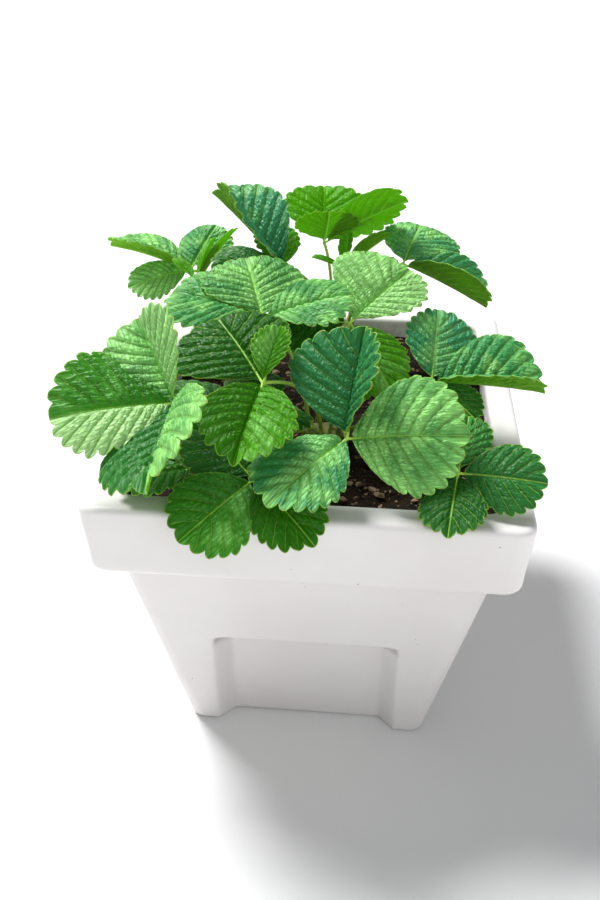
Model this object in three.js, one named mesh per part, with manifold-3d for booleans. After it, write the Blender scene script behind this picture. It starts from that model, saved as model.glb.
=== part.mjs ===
// A strawberry plant growing in a rectangular white planter.
//
// Millimetres, +Z up. The origin is the middle of the planter's underside, X runs across the
// planter, and Y runs along it, away from the front wall. Two crowns stand in the soil, and each
// leaf rises from a socket in its crown: a petiole with three toothed leaflets at its top.

import * as THREE from 'three';
import { mergeVertices } from 'three/addons/utils/BufferGeometryUtils.js';
import Module from 'manifold-3d';

const wasm = await Module();
wasm.setup();

// Driving dimensions -------------------------------------------------------------------------

const rimWidth = 300;
const rimLength = 400;
const planterHeight = 216;
const bandHeight = 53;
const bandTaper = 5.2;
const rimTopSide = 21;
const rimTopEnd = 24;
const wallTop = [129.2, 179.2];
const wallFoot = [89.5, 145];
const rimCorner = 14;
const cornerSteps = 4;
const rimEdge = 4;
const wallThickness = 5.2;
const floorThickness = 8;

const recessTop = 93;
const recessDepth = 14;
const recessSlope = 12;
const recessHollow = [92, 145];
const footWidth = [22, 26];

const soilLevel = 198;
const soilRelief = 1.3;
const soilRingSteps = 36;
const soilCorner = 9;
const soilInset = 0.6;
const bankHeight = 5;
const bankMiddle = 122;
const bankWidth = 20;
const chipCount = 14;
const chipLength = 9;
const chipEdgeClear = 12;
const chipCrownClear = 24;
const chipSink = 0.8;
const seatGap = 0.3;

const crownRadius = 18;
const crownDepth = 20;
const crownRise = 14;
const socketDepth = 8;
const crownSides = 12;
const scaleRoot = 7;

const petioleRadius = 1.6;
const stalkWidth = 2;
const stalkLength = 4;
const petioleSteps = 6;
const petioleSides = 5;
const bladeThickness = 0.8;
const toothHeight = 0.08;

// Crowns: the middle of each where it stands in the soil, where its dry scales stand, in degrees
// round it, and how tall they are.
const crowns = {
  front: { middle: [5, -60], scales: [-165, -56, -22, 23, 84, 115, 148], scaleHeight: 16 },
  back: { middle: [-2, 134], scales: [-129, -92, -48, 8, 38, 102, 132, 160], scaleHeight: 30 },
};

// One row for each leaf: its name, its crown, the socket it stands in (degrees round the crown,
// mm out from the middle), how its petiole bows (share of the way out, share of the way up), the
// top of the petiole, and the number of teeth on each side of a leaflet. Then one line for each
// leaflet: heading, rise, roll and twist of the midrib in degrees, length, width of the left and
// of the right half, how far each half folds up, and how far the midrib arches over, in degrees.
const leaf = (name, crown, socket, bow, top, teeth, leaflets) =>
  ({ name, crown, socket, bow, top, teeth, leaflets });

const leaves = [
  leaf('leaf_front_1', 'front', [-150, 12.5], [0.15, 0.8], [-86, -160, 276], 8, [
    [-168, -5, 42, 35, 78, 30, 38, 22, 12, 25],
    [128, 38, 25, 0, 62, 35, 33, 12, 72, 20],
    [-92, -15, -18, 0, 80, 50, 42, 50, 5, 20]]),
  leaf('leaf_front_2', 'front', [-120, 5.5], [0.15, 0.75], [-33, -134, 281], 8, [
    [125, 19, 15, 0, 72, 46, 40, 15, 12, 25],
    [-100, -24, 0, 0, 66, 34, 30, 30, 45, 20],
    [66, 50, 0, 0, 36, 15, 15, 45, 45, 15]]),
  leaf('leaf_front_3', 'front', [-72, 12.5], [0.2, 1.0], [25, -160, 256], 8, [
    [74, 60, -5, 0, 68, 46, 30, 8, 75, 12],
    [-3, 6, -45, 0, 73, 40, 37, 12, 8, 20],
    [-130, -17, 12, 0, 69, 28, 35, 12, 5, 20]]),
  leaf('leaf_front_4', 'front', [-98, 12.5], [0.35, 2.2], [-34, -178, 232], 7, [
    [-135, -22, 35, 0, 60, 28, 28, 12, 12, 20],
    [142, 26, 35, 0, 56, 26, 24, 15, 15, 20],
    [-42, -22, -20, 0, 58, 22, 24, 15, 15, 30]]),
  leaf('leaf_front_5', 'front', [-40, 12.5], [0.35, 1.6], [98, -166, 238], 7, [
    [-8, 0, -42, 0, 52, 23, 23, 12, 10, 20],
    [-98, -24, 0, 0, 46, 21, 20, 20, 6, 20],
    [80, 28, -10, 0, 42, 17, 17, 20, 20, 20]]),
  leaf('leaf_front_6', 'front', [-4, 12.5], [0.25, 1.0], [81, -70, 260], 8, [
    [2, -4, -42, 0, 76, 42, 24, 8, 96, 20],
    [86, 42, -15, 0, 54, 23, 29, 12, 12, 15],
    [-35, -25, -20, 0, 40, 17, 18, 15, 15, 20]]),
  leaf('leaf_front_7', 'front', [180, 12.5], [0.15, 0.75], [-42, -60, 299], 8, [
    [165, 8, 15, 0, 68, 38, 40, 22, 12, 15],
    [110, 26, 0, 0, 58, 36, 36, 12, 15, 15],
    [15, 12, -20, 0, 62, 29, 30, 12, 26, 15]]),
  leaf('leaf_front_8', 'front', [50, 6], [0.15, 0.75], [20, -42, 292], 8, [
    [48, 22, -24, 0, 64, 46, 30, 12, 30, 20],
    [-50, -36, -20, 0, 62, 30, 28, 12, 15, 25],
    [170, -5, 40, 0, 56, 26, 26, 15, 15, 20]]),
  leaf('leaf_front_9', 'front', [-124, 12.5], [0.4, 2.0], [-76, -158, 227], 6, [
    [-152, -2, 6, 0, 50, 20, 19, 15, 10, 15],
    [125, 6, 0, 0, 34, 15, 14, 15, 15, 15],
    [-80, -2, 0, 0, 24, 10, 10, 15, 15, 15]]),
  leaf('leaf_front_10', 'front', [150, 12.5], [0.4, 1.4], [-57, -96, 241], 6, [
    [160, 2, 0, 0, 58, 28, 28, 15, 15, 20],
    [-22, 0, 0, 0, 54, 20, 18, 14, 14, 20],
    [72, 12, 0, 0, 46, 22, 22, 15, 15, 20]]),
  leaf('leaf_back_1', 'back', [-112, 12], [0.15, 0.75], [-39, 60, 299], 8, [
    [152, 36, 45, -40, 82, 34, 38, 100, 10, 20],
    [110, 30, 0, 0, 45, 18, 18, 15, 15, 20],
    [200, 4, 20, 0, 56, 24, 24, 15, 15, 20]]),
  leaf('leaf_back_2', 'back', [0, 0], [0.15, 0.75], [-11, 120, 304], 7, [
    [95, 45, 0, 0, 50, 34, 34, 25, 25, 15],
    [-78, 50, 0, 0, 40, 26, 26, 20, 20, -20],
    [12, 26, 45, 0, 74, 34, 40, 20, 15, 15]]),
  leaf('leaf_back_3', 'back', [-25, 12], [0.15, 0.75], [58, 110, 291], 8, [
    [76, 18, -8, 0, 57, 26, 40, 14, 10, 15],
    [-2, -26, -50, 0, 76, 30, 32, 10, 108, 20],
    [168, -8, 0, 0, 36, 17, 17, 15, 15, 20]]),
  leaf('leaf_back_4', 'back', [-178, 12], [0.15, 0.75], [-125, 100, 281], 8, [
    [165, 10, 20, 0, 72, 30, 24, 70, 20, 20],
    [67, 32, 0, 0, 48, 24, 24, 12, 12, 20],
    [-160, -12, 30, 0, 50, 20, 20, 12, 12, 25]]),
  leaf('leaf_back_5', 'back', [-146, 12], [0.15, 0.75], [-114, 72, 280], 4, [
    [50, 58, 30, 0, 36, 9, 9, 40, 40, 10],
    [38, 46, 30, 0, 52, 9, 9, 50, 50, 10],
    [150, 30, 0, 0, 26, 7, 7, 40, 40, 10]]),
  leaf('leaf_back_6', 'back', [-72, 12], [0.15, 0.75], [8, 112, 284], 4, [
    [80, 60, 30, 0, 28, 8, 8, 40, 40, 10],
    [14, 36, 40, 0, 44, 14, 14, 40, 40, 10],
    [190, 20, 0, 0, 26, 7, 7, 40, 40, 10]]),
];

// Solids -------------------------------------------------------------------------------------

// A closed solid from corner points and triangles that face out.
function solid(points, triangles) {
  const mesh = new wasm.Mesh({
    numProp: 3,
    vertProperties: new Float32Array(points.flat()),
    triVerts: new Uint32Array(triangles.flat()),
  });
  mesh.merge();
  return new wasm.Manifold(mesh);
}

function solidOf(geometry) {
  const bare = geometry.clone();
  bare.deleteAttribute('normal');
  bare.deleteAttribute('uv');
  const merged = mergeVertices(bare, 1e-4);
  return new wasm.Manifold(new wasm.Mesh({
    numProp: 3,
    vertProperties: new Float32Array(merged.attributes.position.array),
    triVerts: new Uint32Array(merged.index.array),
  }));
}

function geometryOf(body) {
  const mesh = body.getMesh();
  const geometry = new THREE.BufferGeometry();
  const corners = new Float32Array(mesh.numVert * 3);
  for (let i = 0; i < mesh.numVert; i++) {
    const start = mesh.numProp * i;
    corners.set(mesh.vertProperties.subarray(start, start + 3), 3 * i);
  }
  geometry.setAttribute('position', new THREE.BufferAttribute(corners, 3));
  geometry.setIndex(new THREE.BufferAttribute(new Uint32Array(mesh.triVerts), 1));
  geometry.computeVertexNormals();
  return geometry;
}

// A skin drawn through rings of equally many points, closed at its first and last ring.
function loft(rings) {
  const count = rings[0].length;
  const points = rings.flat();
  const triangles = [];
  for (let r = 0; r + 1 < rings.length; r++) {
    for (let i = 0; i < count; i++) {
      const a = r * count + i;
      const b = r * count + (i + 1) % count;
      triangles.push([a, b, b + count], [a, b + count, a + count]);
    }
  }
  const last = (rings.length - 1) * count;
  for (let i = 1; i + 1 < count; i++) {
    triangles.push([0, i + 1, i], [last, last + i, last + i + 1]);
  }
  return solid(points, triangles);
}

// A tube through points, with its radius given at each of them.
function tube(points, sides, radii) {
  let side = new THREE.Vector3(1, 0, 0);
  const rings = points.map((point, i) => {
    const before = points[Math.max(i - 1, 0)];
    const after = points[Math.min(i + 1, points.length - 1)];
    const ahead = after.clone().sub(before).normalize();
    side = side.clone().addScaledVector(ahead, -side.dot(ahead)).normalize();
    const other = ahead.clone().cross(side);
    const ring = [];
    for (let k = 0; k < sides; k++) {
      const turn = 2 * Math.PI * k / sides;
      ring.push(point.clone().addScaledVector(side, Math.cos(turn) * radii[i])
        .addScaledVector(other, Math.sin(turn) * radii[i]).toArray());
    }
    return ring;
  });
  return loft(rings);
}

// Even random numbers from 0 to 1, the same on every run.
function randomFrom(seed) {
  let state = seed;
  return () => {
    state = (state * 1664525 + 1013904223) % 4294967296;
    return state / 4294967296;
  };
}

// Planter ------------------------------------------------------------------------------------

// A level rectangle with rounded corners, counted anticlockwise from above.
function roundedRing(halfX, halfY, corner, z) {
  const ring = [];
  const centres = [[1, 1], [-1, 1], [-1, -1], [1, -1]];
  centres.forEach(([sx, sy], quarter) => {
    for (let i = 0; i <= cornerSteps; i++) {
      const turn = Math.PI / 2 * (quarter + i / cornerSteps);
      ring.push([
        sx * (halfX - corner) + corner * Math.cos(turn),
        sy * (halfY - corner) + corner * Math.sin(turn),
        z,
      ]);
    }
  });
  return ring;
}

// Half sizes of the hollow at a height: it follows the wall, and draws in above the recesses.
const hollowLevels = [
  [floorThickness, wallFoot[0] - recessDepth - wallThickness, wallFoot[1] - recessDepth - wallThickness],
  [recessTop, recessHollow[0], recessHollow[1]],
  [planterHeight - bandHeight, wallTop[0] - wallThickness, wallTop[1] - wallThickness],
  [planterHeight, rimWidth / 2 - rimTopSide, rimLength / 2 - rimTopEnd],
];

function hollowAt(z) {
  let below = hollowLevels[0];
  let above = hollowLevels[1];
  for (let i = 1; i < hollowLevels.length; i++) {
    if (z >= hollowLevels[i - 1][0]) {
      below = hollowLevels[i - 1];
      above = hollowLevels[i];
    }
  }
  const t = (z - below[0]) / (above[0] - below[0]);
  return [below[1] + t * (above[1] - below[1]), below[2] + t * (above[2] - below[2])];
}

// What is cut from one wall: a shallow bay, open below, with sloping sides and a sloping top.
function recessCut(halfWidth, wallLow, wallHigh) {
  const lean = (wallHigh - wallLow) / (planterHeight - bandHeight);
  const face = (z, inset) => wallLow + lean * z - inset;
  const past = 2;
  const section = (inset, narrow, top) => [
    [-halfWidth + narrow, face(-past, inset), -past],
    [halfWidth - narrow, face(-past, inset), -past],
    [halfWidth - narrow, face(top, inset), top],
    [-halfWidth + narrow, face(top, inset), top],
  ];
  const slope = recessSlope / recessDepth;
  const outer = section(-past, -past * slope, recessTop + past * slope);
  const inner = section(recessDepth, recessSlope, recessTop - recessSlope);
  return loft([inner, outer].map((ring) => ring.slice().reverse()));
}

function planterBody() {
  const halfX = rimWidth / 2;
  const halfY = rimLength / 2;
  const bandFoot = planterHeight - bandHeight;
  const soft = rimEdge * 0.3;
  const rings = [
    roundedRing(wallFoot[0] - 2, wallFoot[1] - 2, rimCorner - 4, 0),
    roundedRing(wallFoot[0], wallFoot[1], rimCorner - 3, 2.5),
    roundedRing(wallTop[0], wallTop[1], rimCorner - 2, bandFoot),
    roundedRing(halfX - bandTaper - rimEdge, halfY - bandTaper - rimEdge, rimCorner - 4, bandFoot),
    roundedRing(halfX - bandTaper - soft, halfY - bandTaper - soft, rimCorner - 2, bandFoot + soft),
    roundedRing(halfX - bandTaper, halfY - bandTaper, rimCorner - 1, bandFoot + rimEdge),
    roundedRing(halfX, halfY, rimCorner, planterHeight - rimEdge),
    roundedRing(halfX - soft, halfY - soft, rimCorner - soft, planterHeight - soft),
    roundedRing(halfX - rimEdge, halfY - rimEdge, rimCorner - rimEdge, planterHeight),
    roundedRing(halfX - rimTopSide + 3, halfY - rimTopEnd + 3, rimCorner, planterHeight),
    roundedRing(halfX - rimTopSide, halfY - rimTopEnd, rimCorner - 3, planterHeight - 3),
  ];
  for (const [z] of hollowLevels.slice(0, 3).reverse()) {
    rings.push(roundedRing(...hollowAt(z), rimCorner - 4, z));
  }
  let body = loft(rings);
  const front = recessCut(wallFoot[0] - footWidth[0], wallFoot[1], wallTop[1]);
  const side = recessCut(wallFoot[1] - footWidth[1], wallFoot[0], wallTop[0]);
  for (const cut of [front, front.rotate([0, 0, 180]), side.rotate([0, 0, 90]), side.rotate([0, 0, -90])]) {
    body = body.subtract(cut);
  }
  return body;
}

// Soil ---------------------------------------------------------------------------------------

// The lie of the soil: low waves, and a slight bank against the walls on the right.
function soilHeight(x, y) {
  const waves = Math.sin(x * 0.11 + 0.6) * Math.cos(y * 0.083) + 0.7 * Math.sin(x * 0.21 - y * 0.17)
    + 0.5 * Math.cos(x * 0.05 + y * 0.31);
  const bank = bankHeight * Math.exp(-(((x - bankMiddle) / bankWidth) ** 2))
    * (0.6 + 0.4 * Math.sin(y * 0.03));
  return soilLevel + soilRelief * waves + bank;
}

// A rounded rectangle walked in equal steps.
function denseRing(halfX, halfY, corner, count) {
  const outline = new THREE.Path();
  outline.moveTo(halfX, -halfY + corner);
  outline.lineTo(halfX, halfY - corner);
  outline.absarc(halfX - corner, halfY - corner, corner, 0, Math.PI / 2);
  outline.lineTo(-halfX + corner, halfY);
  outline.absarc(-halfX + corner, halfY - corner, corner, Math.PI / 2, Math.PI);
  outline.lineTo(-halfX, -halfY + corner);
  outline.absarc(-halfX + corner, -halfY + corner, corner, Math.PI, 1.5 * Math.PI);
  outline.lineTo(halfX - corner, -halfY);
  outline.absarc(halfX - corner, -halfY + corner, corner, 1.5 * Math.PI, 2 * Math.PI);
  return outline.getSpacedPoints(count).slice(0, count).map((point) => [point.x, point.y]);
}

// One skin from the floor of the hollow up to the surface, then in over the low mounds.
function soilBody() {
  const ringAt = (halfX, halfY, share) =>
    denseRing(halfX * share - soilInset, halfY * share - soilInset, soilCorner * share, soilRingSteps);
  const rings = [floorThickness + seatGap, recessTop, planterHeight - bandHeight].map((z) => {
    const [halfX, halfY] = hollowAt(z);
    return ringAt(halfX, halfY, 1).map(([x, y]) => [x, y, z]);
  });
  const [halfX, halfY] = hollowAt(soilLevel - 4);
  for (const share of [1, 0.88, 0.76, 0.62, 0.48, 0.34, 0.2, 0.06]) {
    rings.push(ringAt(halfX, halfY, share).map(([x, y]) => [x, y, soilHeight(x, y)]));
  }
  return loft(rings);
}

// Chips of bark and grit lie on the soil, each sunk a little into it.
function withChips(body) {
  const random = randomFrom(7);
  const [halfX, halfY] = hollowAt(soilLevel);
  let made = 0;
  while (made < chipCount) {
    const x = (2 * random() - 1) * (halfX - chipEdgeClear);
    const y = (2 * random() - 1) * (halfY - chipEdgeClear);
    const length = chipLength * (0.6 + 0.8 * random());
    const turn = Math.PI * random();
    const tilt = 0.7 * (random() - 0.5);
    const isClear = ({ middle: [cx, cy] }) => Math.hypot(x - cx, y - cy) > chipCrownClear;
    if (Object.values(crowns).every(isClear)) {
      const chip = new THREE.BoxGeometry(length, length * 0.55, length * 0.35);
      chip.rotateX(tilt);
      chip.rotateZ(turn);
      chip.translate(x, y, soilHeight(x, y) - chipSink);
      body = body.add(solidOf(chip));
      made += 1;
    }
  }
  return body;
}

function soilWithHoles() {
  let body = withChips(soilBody());
  const radius = crownRadius + seatGap;
  const depth = crownDepth + seatGap;
  for (const { middle: [x, y] } of Object.values(crowns)) {
    const hole = new THREE.CylinderGeometry(radius, radius, 2 * depth, crownSides);
    hole.rotateX(Math.PI / 2);
    hole.translate(x, y, soilLevel);
    body = body.subtract(solidOf(hole));
  }
  return body;
}

// Crowns -------------------------------------------------------------------------------------

const crownTop = soilLevel + crownRise;

// The middle of a leaf's socket, at the top of its crown.
function socketPoint({ crown, socket: [turn, out] }) {
  const angle = THREE.MathUtils.degToRad(turn);
  const [x, y] = crowns[crown].middle;
  return new THREE.Vector3(x + out * Math.cos(angle), y + out * Math.sin(angle), crownTop);
}

// A pointed dry scale that stands against the crown and leans out at its tip.
function crownScale(turn, height) {
  const rings = [];
  const spine = [[-6, -2.2, 2.2], [2, 0.2, 2.4], [0.6 * height, 1.4, 1.9], [height, 3.2, 0.5]];
  for (const [up, out, half] of spine) {
    const near = crownRadius + out - 1.6;
    const far = crownRadius + out;
    rings.push([[near, -half, up], [far, -half * 0.7, up], [far, half * 0.7, up], [near, half, up]]);
  }
  return loft(rings).rotate([0, 0, turn]);
}

function crownBody(name) {
  const { middle: [x, y], scales, scaleHeight } = crowns[name];
  const r = crownRadius;
  const profile = [[0, -crownDepth], [0.7 * r, -crownDepth], [0.92 * r, -0.4 * crownDepth],
    [0.96 * r, 0], [r, 0.45 * crownRise], [0.97 * r, crownRise - 1.5], [0.86 * r, crownRise],
    [0, crownRise]].map(([out, up]) => new THREE.Vector2(out, up));
  const lathe = new THREE.LatheGeometry(profile, crownSides);
  lathe.rotateX(Math.PI / 2);
  let body = solidOf(lathe);
  scales.forEach((turn, i) => {
    const scale = crownScale(turn, scaleHeight * (1 + 0.2 * Math.sin(i * 2.4)));
    body = body.add(scale.translate([0, 0, scaleRoot]));
  });
  body = body.translate([x, y, soilLevel]);
  const socketRadius = petioleRadius + seatGap + 0.1;
  for (const row of leaves.filter((each) => each.crown === name)) {
    const foot = socketPoint(row);
    const socket = new THREE.CylinderGeometry(socketRadius, socketRadius,
      2 * (socketDepth + seatGap), 8);
    socket.rotateX(Math.PI / 2);
    socket.translate(foot.x, foot.y, foot.z);
    body = body.subtract(solidOf(socket));
  }
  return body;
}

// Leaves -------------------------------------------------------------------------------------

const radians = THREE.MathUtils.degToRad;

// How a leaflet points: its direction d, its left side b and its upper normal n.
function leafletFrame(heading, rise, roll) {
  const [h, r, o] = [heading, rise, roll].map(radians);
  const d = new THREE.Vector3(Math.cos(h) * Math.cos(r), Math.sin(h) * Math.cos(r), Math.sin(r));
  const up = new THREE.Vector3(-Math.cos(h) * Math.sin(r), -Math.sin(h) * Math.sin(r), Math.cos(r));
  const left = new THREE.Vector3().crossVectors(up, d);
  const n = up.multiplyScalar(Math.cos(o)).addScaledVector(left, Math.sin(o));
  return { d, n, b: new THREE.Vector3().crossVectors(n, d) };
}

// Half width of the blade, as a share of its widest, at a share u of its length.
const outline = (u) => u ** 0.78 * Math.max(1 - u, 0) ** 0.56 / 0.402;

// A point of the blade: vein is where along the midrib its vein leaves (0 to 1), out is how far
// along the vein, tooth is how far the margin stands out there, side is 1 left and -1 right.
function bladePoint(row, top, vein, out, tooth, side) {
  const [heading, rise, roll, twist, length, left, right, foldLeft, foldRight, arch] = row;
  const { d, b, n } = leafletFrame(heading, rise, roll);
  const half = side > 0 ? left : right;
  const fold = radians(side > 0 ? foldLeft : foldRight);
  const along = 0.93 * vein ** 1.12;
  const edge = 1 - (1 - vein) ** 1.55;
  const u = along + (edge - along) * out;
  const reach = outline(edge) * (1 + tooth) * out * half;
  const bend = radians(arch);
  const slope = bend / 2 - bend * u;
  const forward = length * (Math.sin(bend / 2) - Math.sin(slope)) / bend;
  const lift = length * (Math.cos(slope) - Math.cos(bend / 2)) / bend;
  const normal = n.clone().multiplyScalar(Math.cos(slope)).addScaledVector(d, -Math.sin(slope));
  const turn = radians(twist) * (u - 0.5);
  const across = b.clone().multiplyScalar(Math.cos(turn)).addScaledVector(normal, -Math.sin(turn));
  const over = normal.multiplyScalar(Math.cos(turn)).addScaledVector(b, Math.sin(turn));
  const droop = -0.3 * half * (reach / half) ** 2;
  return new THREE.Vector3(...top)
    .addScaledVector(d, stalkLength + forward)
    .addScaledVector(n, lift)
    .addScaledVector(across, side * (reach * Math.cos(fold) - droop * Math.sin(fold)))
    .addScaledVector(over, reach * Math.sin(fold) + droop * Math.cos(fold));
}

// One toothed blade on its short flat stalk: veins run from the midrib to the teeth, with a
// notch before each tooth.
function blade(row, top, teeth) {
  const sheet = [];
  const add = (...where) => sheet.push(bladePoint(row, top, ...where)) - 1;
  const { b } = leafletFrame(...row);
  const addStalk = (out) => sheet.push(new THREE.Vector3(...top).addScaledVector(b, out)) - 1;
  const start = addStalk(0);
  const base = add(0, 0, 0, 1);
  const tip = add(1, 1, 0, 1);
  const veins = Array.from({ length: teeth }, (_, k) => (k + 0.66) / teeth);
  const ribs = veins.map((vein) => add(vein, 0, 0, 1));
  const faces = [];
  const rim = [];
  const standOut = (vein) => toothHeight * THREE.MathUtils.clamp((vein - 0.2) / 0.1, 0, 1);
  for (const side of [1, -1]) {
    const middles = veins.map((vein) => add(vein, 0.55, 0, side));
    const tips = veins.map((vein) => add(vein, 1, standOut(vein), side));
    const notches = Array.from({ length: teeth }, (_, k) => add((k + 0.08) / teeth, 1, 0, side));
    const corner = addStalk(side * stalkWidth / 2);
    const face = (p, q, r) => faces.push(side > 0 ? [p, q, r] : [p, r, q]);
    face(start, base, notches[0]);
    face(start, notches[0], corner);
    face(base, ribs[0], middles[0]);
    face(base, middles[0], notches[0]);
    face(notches[0], middles[0], tips[0]);
    for (let k = 1; k < teeth; k++) {
      face(ribs[k - 1], ribs[k], middles[k]);
      face(ribs[k - 1], middles[k], middles[k - 1]);
      face(middles[k - 1], notches[k], tips[k - 1]);
      face(middles[k - 1], middles[k], notches[k]);
      face(middles[k], tips[k], notches[k]);
    }
    face(ribs[teeth - 1], tip, middles[teeth - 1]);
    face(middles[teeth - 1], tip, tips[teeth - 1]);
    const walk = [start, corner];
    notches.forEach((notch, k) => walk.push(notch, tips[k]));
    walk.push(tip);
    rim.push(side > 0 ? walk : walk.reverse());
  }
  return thickened(sheet, faces, rim);
}

// A sheet given its thickness: both faces share one set of triangles, and a rim joins them.
function thickened(sheet, faces, rim) {
  const normals = sheet.map(() => new THREE.Vector3());
  for (const face of faces) {
    const [p, q, r] = face.map((index) => sheet[index]);
    const normal = q.clone().sub(p).cross(r.clone().sub(p));
    face.forEach((index) => normals[index].add(normal));
  }
  const count = sheet.length;
  const shifted = (sign) => sheet.map((point, i) =>
    point.clone().addScaledVector(normals[i].clone().normalize(), sign * bladeThickness / 2).toArray());
  const triangles = faces.map((face) => face.slice());
  for (const [a, b, c] of faces) triangles.push([a + count, c + count, b + count]);
  for (const walk of rim) {
    for (let i = 0; i + 1 < walk.length; i++) {
      const [a, b] = [walk[i], walk[i + 1]];
      triangles.push([a, b, b + count], [a, b + count, a + count]);
    }
  }
  return solid([...shifted(1), ...shifted(-1)], triangles);
}

// The petiole rises straight out of its socket, bows, and ends where the leaflets meet.
function petiole(row) {
  const foot = socketPoint(row);
  const lip = foot.clone().setZ(foot.z + 1);
  const top = new THREE.Vector3(...row.top);
  const [bowOut, bowUp] = row.bow;
  const knee = new THREE.Vector3(foot.x + (top.x - foot.x) * bowOut,
    foot.y + (top.y - foot.y) * bowOut, foot.z + (top.z - foot.z) * bowUp);
  const bow = new THREE.QuadraticBezierCurve3(lip, knee, top);
  const points = [foot.clone().setZ(foot.z - socketDepth), ...bow.getSpacedPoints(petioleSteps)];
  const radii = points.map((point, i) => petioleRadius * (1 - 0.25 * i / petioleSteps));
  return tube(points, petioleSides, radii);
}

function leafBody(row) {
  let body = petiole(row);
  for (const leaflet of row.leaflets) body = body.add(blade(leaflet, row.top, row.teeth));
  return body;
}

// Assembly -----------------------------------------------------------------------------------

const materials = {
  planter: new THREE.MeshStandardMaterial({ color: 0xe9e8e6, roughness: 0.5, metalness: 0 }),
  soil: new THREE.MeshStandardMaterial({ color: 0x2b1d14, roughness: 0.95, metalness: 0 }),
  crown: new THREE.MeshStandardMaterial({ color: 0x6d7a2a, roughness: 0.7, metalness: 0 }),
  leaf: new THREE.MeshStandardMaterial({ color: 0x2f8a46, roughness: 0.5, metalness: 0 }),
};

const plant = new THREE.Group();

function place(name, body, material) {
  const mesh = new THREE.Mesh(geometryOf(body), material);
  mesh.name = name;
  plant.add(mesh);
}

place('planter', planterBody(), materials.planter);
place('soil', soilWithHoles(), materials.soil);
for (const name of Object.keys(crowns)) place(`crown_${name}`, crownBody(name), materials.crown);
for (const row of leaves) place(row.name, leafBody(row), materials.leaf);

export default plant;
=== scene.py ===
"""A strawberry plant in a rectangular white planter.

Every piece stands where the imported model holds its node. Sizes are millimetres, +Z up, with the
origin under the middle of the planter, and become metres when a piece's mesh is made.
"""

import bpy
import numpy as np
from mathutils import Matrix, Vector


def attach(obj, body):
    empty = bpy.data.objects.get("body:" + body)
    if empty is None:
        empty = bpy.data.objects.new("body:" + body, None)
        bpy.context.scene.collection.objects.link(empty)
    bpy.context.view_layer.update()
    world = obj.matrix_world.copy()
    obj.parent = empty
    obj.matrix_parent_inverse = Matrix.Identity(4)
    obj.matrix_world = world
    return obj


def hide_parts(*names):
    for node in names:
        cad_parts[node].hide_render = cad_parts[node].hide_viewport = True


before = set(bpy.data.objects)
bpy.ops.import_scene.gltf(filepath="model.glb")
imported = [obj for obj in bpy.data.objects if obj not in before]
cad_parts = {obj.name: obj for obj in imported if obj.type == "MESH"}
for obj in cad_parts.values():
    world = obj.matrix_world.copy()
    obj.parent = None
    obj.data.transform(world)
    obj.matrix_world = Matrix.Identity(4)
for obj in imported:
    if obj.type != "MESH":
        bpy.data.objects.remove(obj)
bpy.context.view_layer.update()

MM = 0.001

# ------------------------------------------------------------------------------------ camera

CAMERA_AT = Vector((48.76, -787.34, 569.11))
CAMERA_RIGHT = Vector((0.99577, 0.09136, 0.01018))
CAMERA_UP = Vector((-0.05075, 0.45397, 0.88957))
CAMERA_BACK = Vector((0.07665, -0.88633, 0.45668))
CAMERA_LENS = 43.08


def set_up_camera():
    lens = bpy.data.cameras.new("camera")
    lens.lens = CAMERA_LENS
    lens.sensor_width = 36.0
    lens.clip_start = 0.02
    camera = bpy.data.objects.new("camera", lens)
    turn = Matrix((CAMERA_RIGHT, CAMERA_UP, CAMERA_BACK)).transposed().to_4x4()
    camera.matrix_world = Matrix.Translation(CAMERA_AT * MM) @ turn
    bpy.context.scene.collection.objects.link(camera)
    bpy.context.scene.camera = camera


set_up_camera()

# ------------------------------------------------------------------------------- dimensions

RIM_WIDTH, RIM_LENGTH, PLANTER_HEIGHT = 300.0, 400.0, 216.0
BAND_HEIGHT, BAND_TAPER = 53.0, 5.2
RIM_TOP_SIDE, RIM_TOP_END = 21.0, 24.0
WALL_TOP = (129.2, 179.2)
WALL_FOOT = (89.5, 145.0)
RIM_CORNER = 14.0
WALL_THICKNESS, FLOOR_THICKNESS = 5.2, 8.0
RECESS_TOP, RECESS_DEPTH, RECESS_SLOPE = 93.0, 14.0, 12.0
RECESS_HOLLOW = (92.0, 145.0)
FOOT_WIDTH = (22.0, 26.0)
RECESS_HALF = (WALL_FOOT[0] - FOOT_WIDTH[0], WALL_FOOT[1] - FOOT_WIDTH[1])

SOIL_LEVEL, SOIL_RELIEF, SOIL_INSET = 198.0, 1.3, 0.6
SOIL_CORNER = 9.0
SOIL_AROUND, SOIL_RINGS = 560, 104
BANK_HEIGHT, BANK_MIDDLE, BANK_WIDTH = 5.0, 122.0, 20.0
CHIP_COUNT, CHIP_LENGTH = 14, 9.0
CHIP_TOTAL = 620
CHIP_EDGE_CLEAR, CHIP_CROWN_CLEAR = 12.0, 24.0

CROWN_RADIUS, CROWN_DEPTH, CROWN_RISE = 18.0, 20.0, 14.0
SOCKET_DEPTH = 8.0
SCALE_ROOT = 7.0
CROWNS = {
    "front": ((5, -60), (-165, -56, -22, 23, 84, 115, 148), 16),
    "back": ((-2, 134), (-129, -92, -48, 8, 38, 102, 132, 160), 30),
}

PETIOLE_RADIUS = 1.6
STALK_LENGTH = 4.0
TOOTH_SHARE = 0.036
BLADE_THICKNESS = 0.5
HAIRS_PER_PETIOLE = 260
PETIOLE_STEPS = 36


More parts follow.
